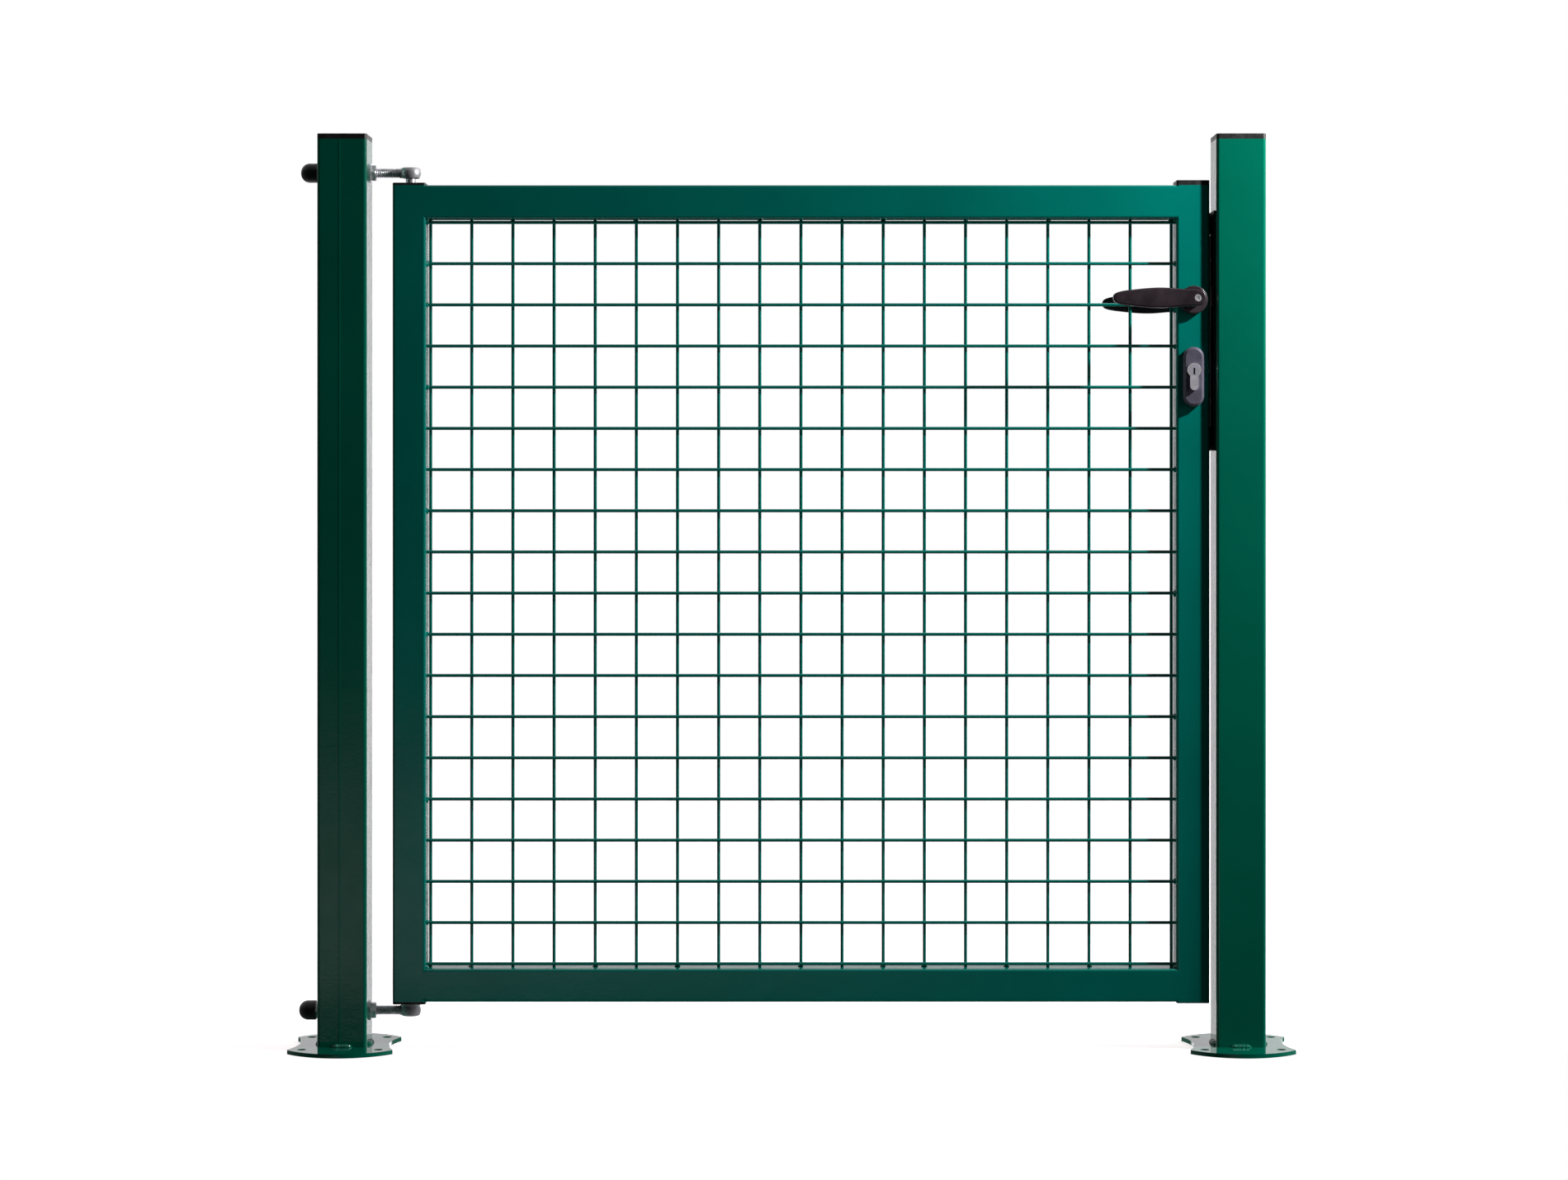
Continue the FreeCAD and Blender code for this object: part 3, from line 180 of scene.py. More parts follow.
def powder_coat(name, color, seam_x=None):
    """Deep green gloss powder coat: orange peel, slow waves, thin and thick patches."""
    s = Shading(name)
    patches = s.spread(s.noise(scale=9.0, detail=4.0), 0.0, 1.0)
    specks = s.spread(s.noise(scale=900.0, detail=2.0), 0.0, 1.0, start=0.62, stop=0.75)
    thin = tuple(THIN_COAT * part for part in color)
    thick = tuple(THICK_COAT * part for part in color)
    pale = tuple(PALE_SPECK * part for part in color)
    color = s.blend(patches, thin, thick)
    color = s.blend(s.maths("MULTIPLY", specks, SPECK_STRENGTH), color, pale)
    peel = s.noise(scale=1.0, detail=2.0, place=s.stretched(*PEEL_SCALE))
    waves = s.noise(scale=55.0, detail=2.0)
    normal = s.bump(peel, PEEL_HEIGHT, strength=0.34)
    normal = s.bump(waves, WAVE_HEIGHT, strength=0.12, normal=normal)
    if seam_x is not None:
        x = s.node("ShaderNodeSeparateXYZ", {"Vector": s.place}).outputs["X"]
        away = s.maths("ABSOLUTE", s.maths("SUBTRACT", x, seam_x))
        seam = s.spread(away, 1.0, 0.0, start=0.0, stop=TUBE_SEAM_HALF)
        normal = s.bump(seam, TUBE_SEAM_HEIGHT, strength=0.9, normal=normal)
    rough = s.spread(s.noise(scale=30.0, detail=3.0), 0.09, 0.15)
    return s.set(color=color, roughness=rough, normal=normal, specular=0.5,
                 coat=0.35, coat_roughness=0.04)


def moulded_plastic():
    """Black plastic with a moulded grain and paler scuffs."""
    s = Shading("black_moulded_plastic")
    scuffs = s.spread(s.noise(scale=60.0, detail=5.0), 0.0, 1.0, start=0.55, stop=0.75)
    color = s.blend(scuffs, (0.012, 0.012, 0.013), (0.030, 0.030, 0.032))
    grain = s.bump(s.noise(scale=1500.0, detail=2.0), 0.08 * MM, strength=0.6)
    rough = s.spread(s.noise(scale=120.0, detail=3.0), 0.34, 0.5)
    return s.set(color=color, roughness=rough, normal=grain, specular=0.5)


def zinc_plate():
    """Pale satin plating with stained patches."""
    s = Shading("zinc_plate")
    stain = s.spread(s.noise(scale=90.0, detail=5.0, roughness=0.6), 0.0, 1.0, start=0.45, stop=0.7)
    color = s.blend(stain, (0.80, 0.80, 0.84), (0.55, 0.54, 0.55))
    fine = s.bump(s.noise(scale=1200.0, detail=3.0), 0.06 * MM, strength=0.7)
    rough = s.spread(s.noise(scale=250.0, detail=4.0), 0.28, 0.42)
    return s.set(color=color, roughness=rough, normal=fine, metallic=0.65)


def black_enamel(name, dark, light, roughness):
    """Satin black metal furniture with a fine cast grain and slight handling marks."""
    s = Shading(name)
    marks = s.spread(s.noise(scale=35.0, detail=6.0, roughness=0.62), 0.0, 1.0, start=0.4, stop=0.75)
    color = s.blend(marks, dark, light)
    dust = s.spread(s.noise(scale=700.0, detail=2.0), 0.0, 1.0, start=0.68, stop=0.78)
    color = s.blend(s.maths("MULTIPLY", dust, 0.12), color, (0.25, 0.24, 0.24))
    grain = s.bump(s.noise(scale=1800.0, detail=2.0), 0.05 * MM, strength=0.6)
    rough = s.spread(s.noise(scale=80.0, detail=4.0), roughness - 0.06, roughness + 0.08)
    return s.set(color=color, roughness=rough, normal=grain, metallic=0.35, specular=0.5)


def brushed_stainless():
    """Steel with long upright brush lines."""
    s = Shading("brushed_stainless")
    brushing = s.stretched(2500.0, 2500.0, 30.0)
    lines = s.noise(scale=1.0, detail=2.0, roughness=0.6, place=brushing)
    color = s.blend(s.spread(lines, 0.0, 1.0), (0.52, 0.52, 0.53), (0.64, 0.64, 0.65))
    return s.set(color=color, roughness=s.spread(lines, 0.24, 0.42), metallic=1.0,
                 normal=s.bump(lines, 0.04 * MM, strength=0.5))


def nickel(name, light, dark):
    """Satin nickel with a soft haze and faint turning marks."""
    s = Shading(name)
    haze = s.spread(s.noise(scale=200.0, detail=4.0), 0.0, 1.0)
    color = s.blend(haze, light, dark)
    turning = s.noise(scale=1.0, detail=2.0, place=s.stretched(900.0, 60.0, 900.0))
    return s.set(color=color, roughness=s.spread(haze, 0.26, 0.40), metallic=0.7,
                 normal=s.bump(turning, 0.03 * MM, strength=0.5))


def rubber():
    """Matt black rubber with a slight bloom."""
    s = Shading("black_rubber")
    bloom = s.spread(s.noise(scale=150.0, detail=4.0), 0.0, 1.0)
    color = s.blend(bloom, (0.014, 0.014, 0.014), (0.03, 0.03, 0.03))
    return s.set(color=color, roughness=s.spread(bloom, 0.7, 0.85),
                 normal=s.bump(s.noise(scale=800.0), 0.1 * MM, strength=0.5))


def pale_floor():
    """Almost white floor, lit a little from within so that only faint shadows show."""
    s = Shading("pale_floor")
    cloud = s.spread(s.noise(scale=1.5, detail=2.0), 0.0, 1.0)
    color = s.blend(cloud, (0.90, 0.885, 0.89), (0.93, 0.915, 0.92))
    s.shader.inputs["Emission Color"].default_value = (1.0, 0.95, 0.955, 1.0)
    s.shader.inputs["Emission Strength"].default_value = 0.72
    return s.set(color=color, roughness=0.9, specular=0.1)


TUBE_SEAM_SHARE = 0.45    # where the hinge post's seam runs, as a share of its width
TUBE_SEAM_X = HINGE_POST[0].x + TUBE_SEAM_SHARE * (HINGE_POST[1].x - HINGE_POST[0].x)
# The posts and the leaf wear one green coat. The leaf's copy is painted about 1.4 times lighter than
# the posts', as painted light where the leaf looks brighter than the lamps alone make it.
POST_GREEN = (0.0003, 0.118, 0.073)
LEAF_GREEN_PAINTED_LIGHTER = (0.0003, 0.165, 0.131)
POST_COAT = powder_coat("post_powder_coat", POST_GREEN)
SEAMED_COAT = powder_coat("seamed_powder_coat", POST_GREEN, TUBE_SEAM_X)
LEAF_COAT_PAINTED_LIGHTER = powder_coat("leaf_powder_coat_painted_lighter", LEAF_GREEN_PAINTED_LIGHTER)
PLASTIC = moulded_plastic()
ZINC = zinc_plate()
HANDLE_BLACK = black_enamel("handle_black", (0.026, 0.017, 0.023), (0.060, 0.044, 0.054),
                            roughness=0.33)
PLATE_BLACK = black_enamel("escutcheon_black", (0.105, 0.097, 0.135), (0.170, 0.160, 0.210),
                           roughness=0.30)
KEEPER_BLACK = black_enamel("keeper_black", (0.008, 0.008, 0.009), (0.020, 0.019, 0.021),
                            roughness=0.42)
STAINLESS = brushed_stainless()
NICKEL = nickel("satin_nickel", (0.93, 0.90, 0.95), (0.76, 0.72, 0.80))
PLUG_NICKEL = nickel("plug_nickel", (0.95, 0.93, 1.0), (0.50, 0.49, 0.60))
RUBBER = rubber()

SLOT_LOOKS = {
    "green_powder_coat": LEAF_COAT_PAINTED_LIGHTER,
    "black_plastic": PLASTIC,
    "zinc_steel": ZINC,
    "black_painted_metal": HANDLE_BLACK,
    "stainless_steel": STAINLESS,
    "nickel_brass": NICKEL,
    "black_rubber": RUBBER,
}
NODE_LOOKS = {
    "hinge_post": SEAMED_COAT,
    "latch_post": POST_COAT,
    "hinge_post_plate": POST_COAT,
    "latch_post_plate": POST_COAT,
    "front_escutcheon": PLATE_BLACK,
    "back_escutcheon": PLATE_BLACK,
    "keeper": KEEPER_BLACK,
    "lever_screws": ZINC,
    "front_plug": PLUG_NICKEL,
    "back_plug": PLUG_NICKEL,
}


def dress_cad_nodes():
    """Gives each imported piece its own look, or the look of its material."""
    slots = {row["node"]: row["material_slot"] for row in frame["record"]["subparts"]}
    for node, obj in NODES.items():
        look = NODE_LOOKS.get(node, SLOT_LOOKS[slots[node]])
        obj.data.materials.clear()
        obj.data.materials.append(look)


# --------------------------------------------------------------- mesh helpers

SHARP_ANGLE = math.radians(40)


def finish_piece(name, mesh, material, body, replaces=()):
    """Smooth-shaded object from a bmesh, riding on its body."""
    data = bpy.data.meshes.new(name)
    bmesh.ops.recalc_face_normals(mesh, faces=mesh.faces)
    mesh.to_mesh(data)
    mesh.free()
    for face in data.polygons:
        face.use_smooth = True
    obj = bpy.data.objects.new(name, data)
    bpy.context.scene.collection.objects.link(obj)
    data.materials.append(material)
    data.set_sharp_from_angle(angle=SHARP_ANGLE)
    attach(obj, body)
    if replaces:
        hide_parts(*replaces)
    return obj


def round_loop(centre, first, second, sides):
    """Loop of points about a centre; first and second are its radii as vectors."""
    turns = (TAU * k / sides for k in range(sides))
    return [centre + first * math.cos(turn) + second * math.sin(turn) for turn in turns]


def add_loops(mesh, loops):
    """Skins a list of closed loops of points, one after the other, and closes both ends."""
    rings = [[mesh.verts.new(point) for point in loop] for loop in loops]
    count = len(rings[0])
    for near, far in zip(rings, rings[1:]):
        for i in range(count):
            j = (i + 1) % count
            mesh.faces.new((near[i], near[j], far[j], far[i]))
    mesh.faces.new(list(reversed(rings[0])))
    mesh.faces.new(rings[-1])


def add_turned(mesh, profile, centre, axis, steps=64):
    """Turns a closed profile of (radius, height) points about an axis, which gives a ring."""
    turn = axis.to_track_quat("Z", "Y")
    columns = []
    for step in range(steps):
        angle = TAU * step / steps
        around = Vector((math.cos(angle), math.sin(angle), 0))
        columns.append([mesh.verts.new(centre + turn @ (around * r + Vector((0, 0, h))))
                        for r, h in profile])
    count = len(profile)
    for step in range(steps):
        near, far = columns[step], columns[(step + 1) % steps]
        for i in range(count):
            j = (i + 1) % count
            mesh.faces.new((near[i], far[i], far[j], near[j]))


LUMP_SCALE = 1.7    # how often a blob swells and sinks on its way round


def add_blob(mesh, centre, size, seed, lumps=0.35, steps=12, rows=8):
    """Small uneven lump of weld metal, with its three half sizes."""
    def placed(point):
        lift = 1.0 + lumps * noise.noise(point * LUMP_SCALE + Vector((seed, 0, 0)))
        return mesh.verts.new(centre + Vector(point[i] * size[i] * lift for i in range(3)))

    top, bottom = placed(Vector((0, 0, 1))), placed(Vector((0, 0, -1)))
    rings = []
    for row in range(1, rows):
        tilt = math.pi * row / rows
        rings.append([placed(Vector((math.sin(tilt) * math.cos(TAU * k / steps),
                                     math.sin(tilt) * math.sin(TAU * k / steps), math.cos(tilt))))
                      for k in range(steps)])
    for k in range(steps):
        j = (k + 1) % steps
        mesh.faces.new((top, rings[0][k], rings[0][j]))
        mesh.faces.new((bottom, rings[-1][j], rings[-1][k]))
        for near, far in zip(rings, rings[1:]):
            mesh.faces.new((near[k], far[k], far[j], near[j]))


RIPPLE_PITCH = 2.2 * MM
RIPPLE_DEPTH = 0.13      # the ripples, wander and lift of a bead, as shares of its radius
WANDER_DEPTH = 0.16
WANDER_LIFT = 0.10
WANDER_SCALE = 9.0
END_TAPER = 6.0          # a bead thins out over the first and the last sixth of its run
THINNEST_END = 0.02
BEAD_SIDES = 14


def add_weld_run(mesh, start, end, lean, radius, seed):
    """Rippled bead from start to end; lean points out of the corner that it fills."""
    along = (end - start).normalized()
    across = along.cross(lean).normalized()
    length = (end - start).length
    steps = max(8, int(length / RIPPLE_PITCH * 5))
    loops = []
    for step in range(steps + 1):
        part = step / steps
        ripple = 1.0 + RIPPLE_DEPTH * abs(math.sin(math.pi * part * length / RIPPLE_PITCH))
        wander = noise.noise(Vector((part * WANDER_SCALE, seed, 0.3)))
        taper = min(1.0, math.sqrt(max(THINNEST_END, END_TAPER * min(part, 1 - part))))
        r = radius * taper * (ripple + WANDER_DEPTH * wander)
        centre = start + along * (length * part) + lean * (WANDER_LIFT * radius * wander)
        loops.append(round_loop(centre, across * r, lean * r, BEAD_SIDES))
    add_loops(mesh, loops)


# ---------------------------------------------------------------------- hinges

THREAD_PITCH = 1.75 * MM
THREAD_DEPTH = 0.95 * MM
THREAD_CREST = 0.12       # the flat crest and the root, as shares of the flank's rise
THREAD_ROOT = 0.06
THREAD_LEAD = 0.14        # how much the first turns of thread are turned down
SHANK_RADIUS = 6.0 * MM
EYE_BORE_RADIUS = 6.08 * MM
EYE_EASE = 0.9 * MM
BALL_GAP = 0.4 * MM       # the ball's surface stops this far below the eye's flat faces
NECK_SHARE = 0.82         # how far out on the eye the neck ends, as a share of its radius
COLLAR_BACK = 2.5 * MM
COLLAR_LENGTH = 6.0 * MM
COLLAR_START = 1.02       # the collar's radius at the shank, and how much it flares
COLLAR_FLARE = 0.16
COLLAR_GAP = 0.3 * MM     # keeps the collar below the eye's flat faces


def thread_radius(distance, angle):
    """Radius of a cut thread with a flat crest and a flat root."""
    phase = (distance / THREAD_PITCH - angle / TAU) % 1.0
    flank = abs(2 * phase - 1)
    cut = flank * (1 + THREAD_CREST + THREAD_ROOT) - THREAD_CREST
    return SHANK_RADIUS - THREAD_DEPTH * min(1.0, max(0.0, cut))


def add_thread(mesh, start_x, end_x, y, z, steps=30, per_pitch=8):
    """Threaded shank along X, with a lead-in over its first two turns."""
    count = int((end_x - start_x) / THREAD_PITCH * per_pitch)
    loops = []
    for row in range(count + 1):
        distance = (end_x - start_x) * row / count
        lead = min(1.0, distance / (2 * THREAD_PITCH))
        loop = []
        for k in range(steps):
            angle = TAU * k / steps
            r = thread_radius(distance, angle) * (1 - THREAD_LEAD + THREAD_LEAD * lead)
            loop.append(Vector((start_x + distance, y + r * math.cos(angle), z + r * math.sin(angle))))
        loops.append(loop)
    add_loops(mesh, loops)


def eye_profile(outer, half, bore):
    """Ball-shaped eye with eased edges, as (radius, height) points."""
    flat = math.sqrt(outer ** 2 - half ** 2)
    points = [(bore, -half + EYE_EASE), (bore + EYE_EASE, -half), (flat - EYE_EASE, -half)]
    top = math.asin((half - BALL_GAP) / outer)
    for step in range(13):
        angle = -top + 2 * top * step / 12
        points.append((outer * math.cos(angle), outer * math.sin(angle)))
    points += [(flat - EYE_EASE, half), (bore + EYE_EASE, half), (bore, half - EYE_EASE)]
    return points


def eye_bolt(node):
    """Eye bolt with a ball-shaped eye about the hinge pin, a flared neck and a cut thread."""
    low, high = box(node)
    centre = (low + high) / 2
    pin = middle("top_hinge_pin")
    half = (high.z - low.z) / 2
    radius = high.x - pin.x
    mesh = bmesh.new()
    eye = eye_profile(radius, half, EYE_BORE_RADIUS)
    add_turned(mesh, eye, Vector((pin.x, pin.y, centre.z)), Vector((0, 0, 1)))
    neck_x = pin.x - radius * NECK_SHARE
    add_thread(mesh, low.x, neck_x, centre.y, centre.z)
    collar = []
    for step in range(9):
        part = step / 8
        r = SHANK_RADIUS * (COLLAR_START + COLLAR_FLARE * part ** 2)
        x = neck_x - COLLAR_BACK + COLLAR_LENGTH * part
        tall = min(r, half - COLLAR_GAP)
        collar.append(round_loop(Vector((x, centre.y, centre.z)), Vector((0, r, 0)),
                                 Vector((0, 0, tall)), 40))
    add_loops(mesh, collar)
    finish_piece(node + "_threaded", mesh, ZINC, "posts", (node,))


# ------------------------------------------------------------------------ lock

SPRING_WIRE_RADIUS = 0.4 * MM
SPRING_TURNS = 6
STEPS_PER_TURN = 32
SPRING_WIRE_SIDES = 12


def latch_spring():
    """Open coil behind the latch, as long as the imported spring's box."""
    low, high = box("latch_spring")
    centre = (low + high) / 2
    coil_radius = (high.z - low.z) / 2 - SPRING_WIRE_RADIUS
    start, end = low.x + SPRING_WIRE_RADIUS, high.x - SPRING_WIRE_RADIUS
    along = Vector((1, 0, 0))
    mesh = bmesh.new()
    loops = []
    steps = SPRING_TURNS * STEPS_PER_TURN
    for step in range(steps + 1):
        part = step / steps
        angle = TAU * SPRING_TURNS * part
        around = Vector((0, math.cos(angle), math.sin(angle)))
        spot = Vector((start + (end - start) * part, centre.y, centre.z)) + coil_radius * around
        loops.append(round_loop(spot, SPRING_WIRE_RADIUS * around, SPRING_WIRE_RADIUS * along,
                                SPRING_WIRE_SIDES))
    add_loops(mesh, loops)
    spring = finish_piece("latch_coil", mesh, ZINC, "leaf", ("latch_spring",))
    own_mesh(spring)


# ----------------------------------------------------------------------- welds

FOOT_WELD_HALF = 12.5 * MM       # half the length of a bead at a post's foot
FOOT_WELD_SHARE = 0.86           # its radius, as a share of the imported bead's height
CORNER_WELD_RADIUS = 3.2 * MM
CORNER_WELD_ENDS = (7.5 * MM, 16.5 * MM)    # in depth, either side of the frame's middle
TUBE_ROUNDING = 3.0 * MM
SEAM_NEAR = 0.9 * MM             # how far a dressed seam reaches over the rail and the stile
SEAM_FAR = 3.6 * MM
SEAM_WANDER = 0.25 * MM
SEAM_PROUD = 0.03 * MM
SEAM_DEPTH = 0.6 * MM
SEAM_STEPS = 32


def foot_welds():
    """Rippled beads in the middle of each side of both posts, over the base plates."""
    mesh = bmesh.new()
    node_low, node_high = box("foot_welds")
    reach = node_high.z - node_low.z
    seed = 1.0
    for low, high in (HINGE_POST, LATCH_POST):
        mid = (low + high) / 2
        half = (high.x - low.x) / 2
        for quarter in range(4):
            turn = Matrix.Rotation(math.radians(90 * quarter), 3, "Z")
            start = mid + turn @ Vector((-FOOT_WELD_HALF, -half, 0))
            end = mid + turn @ Vector((FOOT_WELD_HALF, -half, 0))
            start.z = end.z = PLATE_TOP
            lean = turn @ Vector((0, -1, 0)) + Vector((0, 0, 1))
            add_weld_run(mesh, start, end, lean.normalized(), reach * FOOT_WELD_SHARE, seed)
            seed += 2.7
    finish_piece("foot_weld_beads", mesh, POST_COAT, "posts", ("foot_welds",))


def corner_welds():
    """Beads in the frame's inner corners, in front of the mesh and behind it."""
    mesh = bmesh.new()
    seed = 3.0
    for x, side_x in ((TOP_RAIL[0].x, 1), (TOP_RAIL[1].x, -1)):
        for z, side_z in ((TOP_RAIL[0].z, -1), (BOTTOM_RAIL[1].z, 1)):
            lean = Vector((side_x, 0, side_z)).normalized()
            for sign in (-1, 1):
                start, end = (Vector((x, sign * y, z)) for y in CORNER_WELD_ENDS)
                add_weld_run(mesh, start, end, lean, CORNER_WELD_RADIUS, seed)
                seed += 1.9
    finish_piece("corner_weld_beads", mesh, LEAF_COAT_PAINTED_LIGHTER, "leaf", ("frame_welds",))


def sunk_by_rounding(z, low, high):
    """How far a tube's rounded edge lies below its flat face at this height."""
    lack = max(0.0, TUBE_ROUNDING - min(z - low, high - z))
    return TUBE_ROUNDING - math.sqrt(max(0.0, TUBE_ROUNDING ** 2 - lack ** 2))


def dressed_seams():
    """Welds ground flush where the rails meet the stiles' rounded edges, front and back."""
    mesh = bmesh.new()
    for x, inward in ((TOP_RAIL[0].x, 1), (TOP_RAIL[1].x, -1)):
        for low, high in (TOP_RAIL, BOTTOM_RAIL):
            for y, outward in ((LEAF_FRONT, -1), (LEAF_BACK, 1)):
                deep = y - outward * (TUBE_ROUNDING + SEAM_DEPTH)
                loops = []
                for step in range(SEAM_STEPS + 1):
                    z = low.z + (high.z - low.z) * step / SEAM_STEPS
                    wave = SEAM_WANDER * noise.noise(Vector((step * 0.4, x * 50, low.z * 50)))
                    face = y - outward * (sunk_by_rounding(z, low.z, high.z) - SEAM_PROUD)
                    near, far = x + inward * (SEAM_NEAR + wave), x - inward * (SEAM_FAR + wave)
                    loops.append([Vector((near, face, z)), Vector((far, face, z)),
                                  Vector((far, deep, z)), Vector((near, deep, z))])
                add_loops(mesh, loops)
    finish_piece("dressed_weld_seams", mesh, LEAF_COAT_PAINTED_LIGHTER, "leaf")


# ------------------------------------------------------------------------ mesh

MESH_PITCH = 50.0 * MM
WIRE_RADIUS = 2.0 * MM
NUGGET_SIZE = (2.3 * MM, 1.0 * MM, 2.3 * MM)
NUGGET_WANDER = 0.3 * MM
LEFT_TACKS = (0, 1, 2, 4, 7, 10, 14, 17)      # level wires, counted from the top
RIGHT_TACKS = (1, 3, 6, 9, 12, 13, 16)
BOTTOM_TACKS = (1, 4, 6, 9, 11, 12, 14, 16)   # upright wires, counted from the left
TOP_TACKS = (0, 2, 5, 8, 11, 13, 15, 18)
TACK_ACROSS = (2.6 * MM, 3.9 * MM)            # least and most of each half size and offset
TACK_ALONG = (2.0 * MM, 3.2 * MM)
SECOND_TACK = (1.6 * MM, 2.4 * MM)
SECOND_TACK_AWAY = (1.2 * MM, 2.6 * MM)


def wire_places(node, axis):
    """Middles of a node's parallel wires along one axis, from the mesh pitch."""
    low, high = box(node)
    first, last = low[axis] + WIRE_RADIUS, high[axis] - WIRE_RADIUS
    count = round((last - first) / MESH_PITCH) + 1
    return [first + (last - first) * i / (count - 1) for i in range(count)]


UPRIGHTS = wire_places("mesh_vertical_wires", 0)
LEVELS = list(reversed(wire_places("mesh_horizontal_wires", 2)))
UPRIGHT_Y = middle("mesh_vertical_wires").y
LEVEL_Y = middle("mesh_horizontal_wires").y


def crossing_welds():
    """Squeezed metal at every crossing of the welded mesh."""
    mesh = bmesh.new()
    y = (UPRIGHT_Y + LEVEL_Y) / 2
    for i, x in enumerate(UPRIGHTS):
        for j, z in enumerate(LEVELS):
            lean = NUGGET_WANDER * noise.noise(Vector((i * 3.1, j * 2.3, 0.5)))
            add_blob(mesh, Vector((x + lean, y, z)), NUGGET_SIZE, seed=i + 20.0 * j, lumps=0.2,
                     steps=10, rows=6)
    finish_piece("crossing_weld_nuggets", mesh, LEAF_COAT_PAINTED_LIGHTER, "leaf")


def tack_welds():
    """Lumps of weld where some wires meet the frame, each with a smaller one beside it."""
    mesh = bmesh.new()
    rng = random.Random(17)
    left, right = TOP_RAIL[0].x, TOP_RAIL[1].x
    low, high = BOTTOM_RAIL[1].z, TOP_RAIL[0].z
    spots = [(left, LEVEL_Y, LEVELS[i], 0) for i in LEFT_TACKS]
    spots += [(right, LEVEL_Y, LEVELS[i], 0) for i in RIGHT_TACKS]
    spots += [(UPRIGHTS[i], UPRIGHT_Y, low, 2) for i in BOTTOM_TACKS]
    spots += [(UPRIGHTS[i], UPRIGHT_Y, high, 2) for i in TOP_TACKS]

    for x, y, z, wire_axis in spots:
        place = Vector((x, y, z))
        size = [rng.uniform(*TACK_ACROSS) for _ in range(3)]
        size[wire_axis] = rng.uniform(*TACK_ALONG)
        add_blob(mesh, place, size, seed=rng.uniform(0, 90))
        beside = place.copy()
        beside[2 - wire_axis] += rng.choice((-1, 1)) * rng.uniform(*SECOND_TACK_AWAY)
        size = [rng.uniform(*SECOND_TACK) for _ in range(3)]
        add_blob(mesh, beside, size, seed=rng.uniform(0, 90))
    finish_piece("wire_tack_welds", mesh, LEAF_COAT_PAINTED_LIGHTER, "leaf")


# ------------------------------------------------------------- floor and light

FLOOR_FRONT = -0.03    # the pale floor ends near the gate, so the dark room in front stays dark
FLOOR_BACK = 60.0
FLOOR_SIDE = 30.0
FLOOR_GAP = 0.2 * MM   # keeps the floor just under the plates
WHITE = (1.0, 1.0, 1.0)


def floor():
    """Flat sheet from just before the gate to far behind it."""
    mesh = bmesh.new()
    corners = ((-FLOOR_SIDE, FLOOR_FRONT), (FLOOR_SIDE, FLOOR_FRONT),
               (FLOOR_SIDE, FLOOR_BACK), (-FLOOR_SIDE, FLOOR_BACK))
    mesh.faces.new([mesh.verts.new((x, y, 0.0)) for x, y in corners])
    data = bpy.data.meshes.new("floor")
    mesh.to_mesh(data)
    mesh.free()
    obj = bpy.data.objects.new("floor", data)
    bpy.context.scene.collection.objects.link(obj)
    obj.location.z = CAD_BOX[0].z - FLOOR_GAP
    data.materials.append(pale_floor())
    obj.visible_glossy = False


def area_light(name, place, target, width, height, power):
    """White lamp of that width and height at its place, facing its target."""
    data = bpy.data.lights.new(name, "AREA")
    data.shape = "RECTANGLE"
    data.size = width
    data.size_y = height
    data.energy = power
    data.color = WHITE
    obj = bpy.data.objects.new(name, data)
    obj.location = place
    obj.rotation_euler = (Vector(target) - Vector(place)).to_track_quat("-Z", "Y").to_euler()
    bpy.context.scene.collection.objects.link(obj)
    return obj


# The studio around the gate, by direction: x to the right, y to the back and z up, each
# from -1 to 1. A pair says where a fade starts and where it ends.
STRIP_BOTTOM, STRIP_TOP = (-0.154, -0.144), (-0.143, -0.06)
STRIP_FRONT, STRIP_RIGHT = (-0.9, -0.7), (-0.13, 0.08)
STRIP_LIGHT = 0.5
BACK_LIGHT = (-0.65, 0.7)
LEFT_DIM_BACK, LEFT_DIM_SIDE = (-0.1, 0.2), (-0.3, 0.1)
LEFT_DIMMING = 0.7
PANEL_NEAR, PANEL_FAR = (0.120, 0.129), (0.30, 0.42)
LEFT_TO_RIGHT, PANEL_TOP = (-0.1, 0.1), (0.10, 0.13)
LEFT_PANEL_LIGHT, RIGHT_PANEL_LIGHT = 1.4, 2.4
UPPER_PANEL_LOW, UPPER_PANEL_HIGH = (0.12, 0.155), (0.45, 0.8)
UPPER_PANEL_LIGHT, UPPER_PANEL_FALL = 0.85, 0.8
PANEL_BACK = (0.2, 0.7)
WALL_FRONT, WALL_BACK = (-0.7, 0.2), (0.75, 0.95)
WALL_LIGHT, WALL_BACK_SHARE = 0.13, 0.12
CEILING_HIGH, CEILING_FRONT = (0.3, 0.6), (-0.8, -0.5)
CEILING_LIGHT = 0.3
LIGHT_TINT = (1.0, 0.985, 0.985)
REFLECTED_TINT = (1.0, 0.975, 1.0)


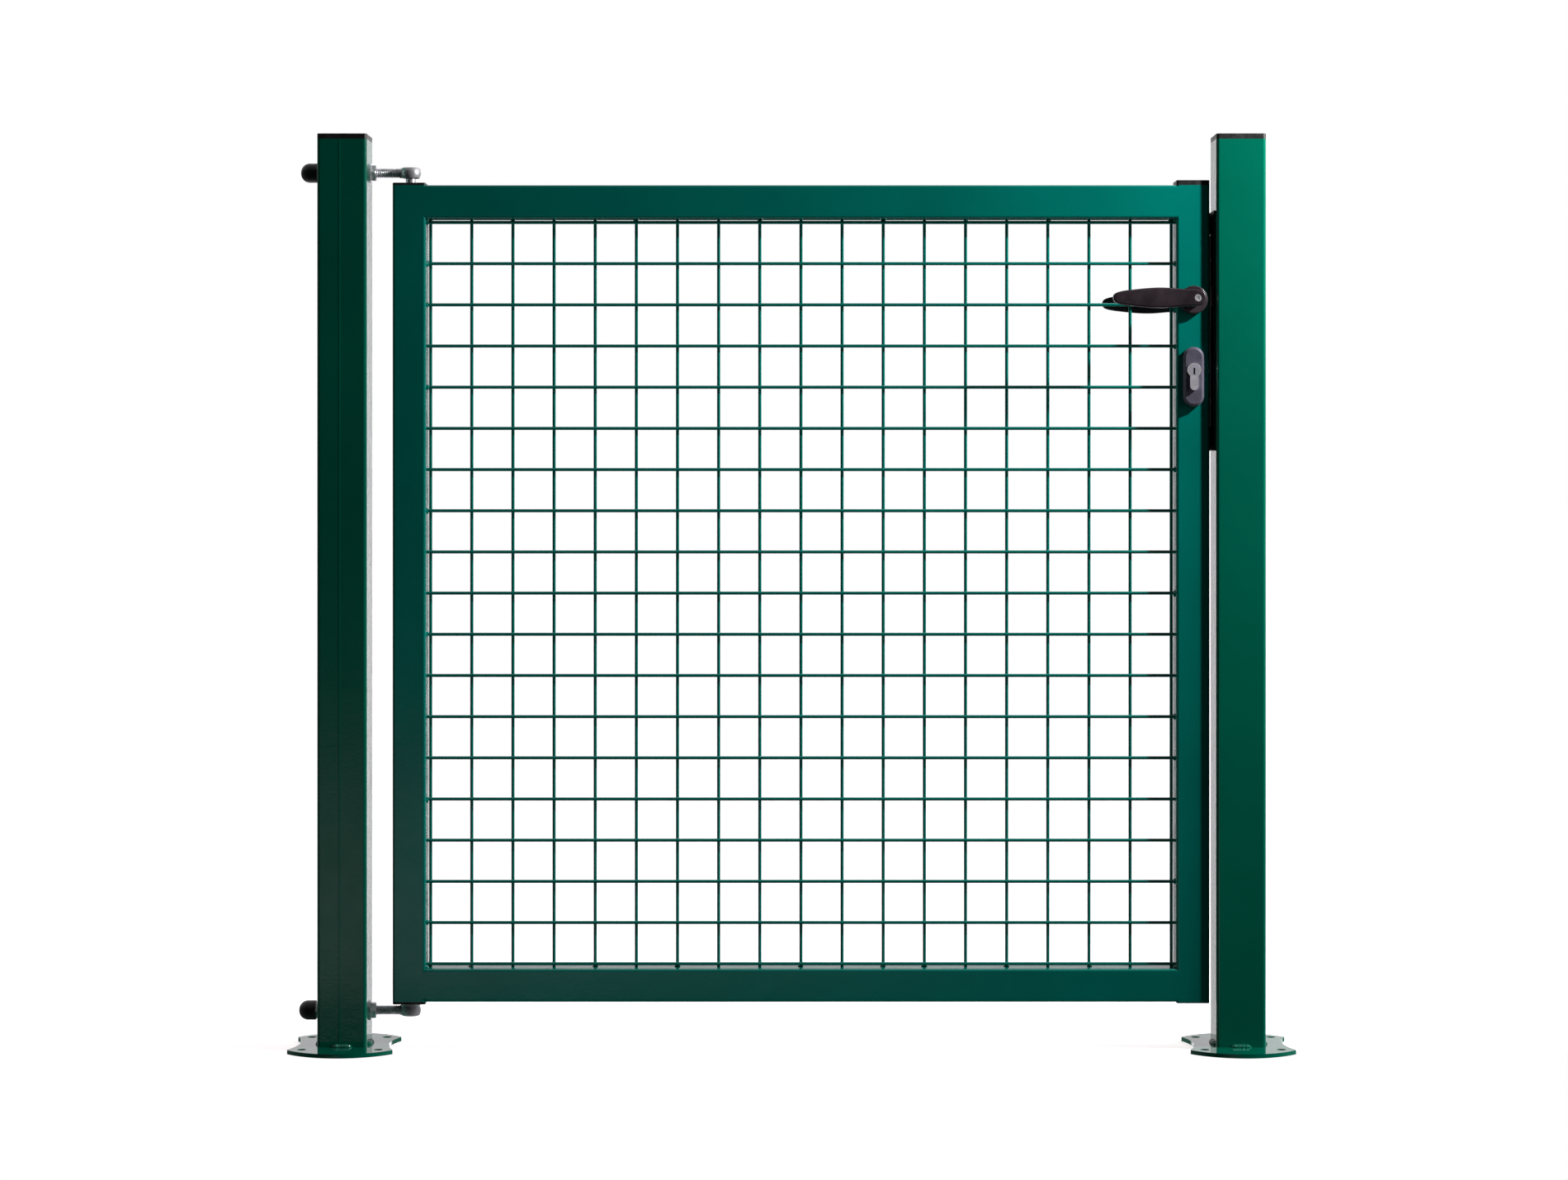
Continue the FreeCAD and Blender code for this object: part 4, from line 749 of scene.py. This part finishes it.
def studio_world():
    """White to look at, bright behind as light, and in reflections a dark room with panels."""
    world = bpy.data.worlds.new("studio")
    bpy.context.scene.world = world
    world.use_nodes = True
    tree = world.node_tree
    tree.nodes.clear()

    def node(kind, **inputs):
        made = tree.nodes.new(kind)
        for key, value in inputs.items():
            socket = made.inputs[key.replace("_", " ")]
            if isinstance(value, bpy.types.NodeSocket):
                tree.links.new(value, socket)
            else:
                socket.default_value = value
        return made

    def ramp(value, fade, low, high):
        return node("ShaderNodeMapRange", Value=value, From_Min=fade[0], From_Max=fade[1],
                    To_Min=low, To_Max=high).outputs["Result"]

    def maths(operation, first, second):
        made = tree.nodes.new("ShaderNodeMath")
        made.operation = operation
        for socket, value in zip(made.inputs, (first, second)):
            if isinstance(value, bpy.types.NodeSocket):
                tree.links.new(value, socket)
            else:
                socket.default_value = value
        return made.outputs["Value"]

    def glow(strength, color):
        return node("ShaderNodeBackground", Color=(*color, 1.0), Strength=strength).outputs[0]

    def choose(factor, first, second):
        mixer = tree.nodes.new("ShaderNodeMixShader")
        for socket, value in zip(mixer.inputs, (factor, first, second)):
            tree.links.new(value, socket)
        return mixer.outputs[0]

    def product(*values):
        result = values[0]
        for value in values[1:]:
            result = maths("MULTIPLY", result, value)
        return result

    direction = tree.nodes.new("ShaderNodeTexCoord").outputs["Generated"]
    x, y, z = node("ShaderNodeSeparateXYZ", Vector=direction).outputs

    # A thin strip low in front, for the sheen low on the posts.
    low_strip = product(ramp(z, STRIP_TOP, 1.0, 0.0), ramp(z, STRIP_BOTTOM, 0.0, 1.0),
                        ramp(y, STRIP_FRONT, 1.0, 0.0), ramp(x, STRIP_RIGHT, STRIP_LIGHT, 0.0))

    # Light: bright behind the gate and dimmer behind its left half.
    dim_left = product(ramp(y, LEFT_DIM_BACK, 0.0, LEFT_DIMMING), ramp(x, LEFT_DIM_SIDE, 1.0, 0.0))
    lighting = product(ramp(y, BACK_LIGHT, 0.0, 1.0), maths("SUBTRACT", 1.0, dim_left))
    lighting = maths("ADD", lighting, low_strip)

    # Reflections: two side panels, stronger on the right, and one above, all behind the gate.
    aside = maths("ABSOLUTE", x, 0.0)
    side_panels = product(ramp(aside, PANEL_NEAR, 0.0, 1.0), ramp(aside, PANEL_FAR, 1.0, 0.0),
                          ramp(x, LEFT_TO_RIGHT, LEFT_PANEL_LIGHT, RIGHT_PANEL_LIGHT),
                          ramp(z, PANEL_TOP, 1.0, 0.0))
    upper_panel = product(ramp(z, UPPER_PANEL_LOW, 0.0, UPPER_PANEL_LIGHT),
                          ramp(z, UPPER_PANEL_HIGH, 1.0, UPPER_PANEL_FALL))
    panels = product(maths("MAXIMUM", side_panels, upper_panel), ramp(y, PANEL_BACK, 0.0, 1.0))

    # The room around them is dim, with a brighter ceiling everywhere but in front.
    walls = product(ramp(y, WALL_FRONT, 0.0, WALL_LIGHT), ramp(y, WALL_BACK, 1.0, WALL_BACK_SHARE))
    ceiling = product(ramp(z, CEILING_HIGH, 0.0, CEILING_LIGHT), ramp(y, CEILING_FRONT, 0.0, 1.0))
    room = maths("ADD", walls, ceiling)
    reflected = maths("ADD", maths("ADD", panels, low_strip), room)

    path = tree.nodes.new("ShaderNodeLightPath").outputs
    lit = choose(path["Is Glossy Ray"], glow(lighting, LIGHT_TINT), glow(reflected, REFLECTED_TINT))
    shown = choose(path["Is Camera Ray"], lit, glow(1.0, WHITE))
    output = tree.nodes.new("ShaderNodeOutputWorld")
    tree.links.new(shown, output.inputs["Surface"])


def lights():
    """Small hard key light from the front right, and a soft one far out on the right."""
    area_light("key", place=(1.212, -0.359, 1.42), target=(0.0, 0.0, 0.6),
               width=0.05, height=0.05, power=24.0)
    side = area_light("side", place=(3.2, -0.35, 1.0), target=(-0.5, 0.0, 0.6),
                      width=1.4, height=2.4, power=80.0)
    side.visible_glossy = False


CAMERA_DISTANCE = 4.1          # in front of the posts' front faces
CAMERA_X = -9.1 * MM
CAMERA_HEIGHT = 0.691
LENS = 78.06                   # focal length and sensor width in the lens's own millimetres
SENSOR_WIDTH = 36.0
LENS_DROP = 0.0710526          # shift of the view, as a share of the picture's width


def camera():
    """Level camera opposite the gate, its long lens shifted down to frame the feet."""
    data = bpy.data.cameras.new("camera")
    data.lens = LENS
    data.sensor_width = SENSOR_WIDTH
    data.shift_y = -LENS_DROP
    data.clip_end = 100.0
    obj = bpy.data.objects.new("camera", data)
    obj.location = (CAMERA_X, HINGE_POST[0].y - CAMERA_DISTANCE, CAMERA_HEIGHT)
    obj.rotation_euler = (math.radians(90), 0, 0)
    bpy.context.scene.collection.objects.link(obj)
    bpy.context.scene.camera = obj


bpy.context.scene.view_settings.view_transform = "Standard"
dress_cad_nodes()
eye_bolt("top_eye_bolt")
eye_bolt("bottom_eye_bolt")
latch_spring()
foot_welds()
corner_welds()
dressed_seams()
crossing_welds()
tack_welds()
floor()
studio_world()
lights()
camera()
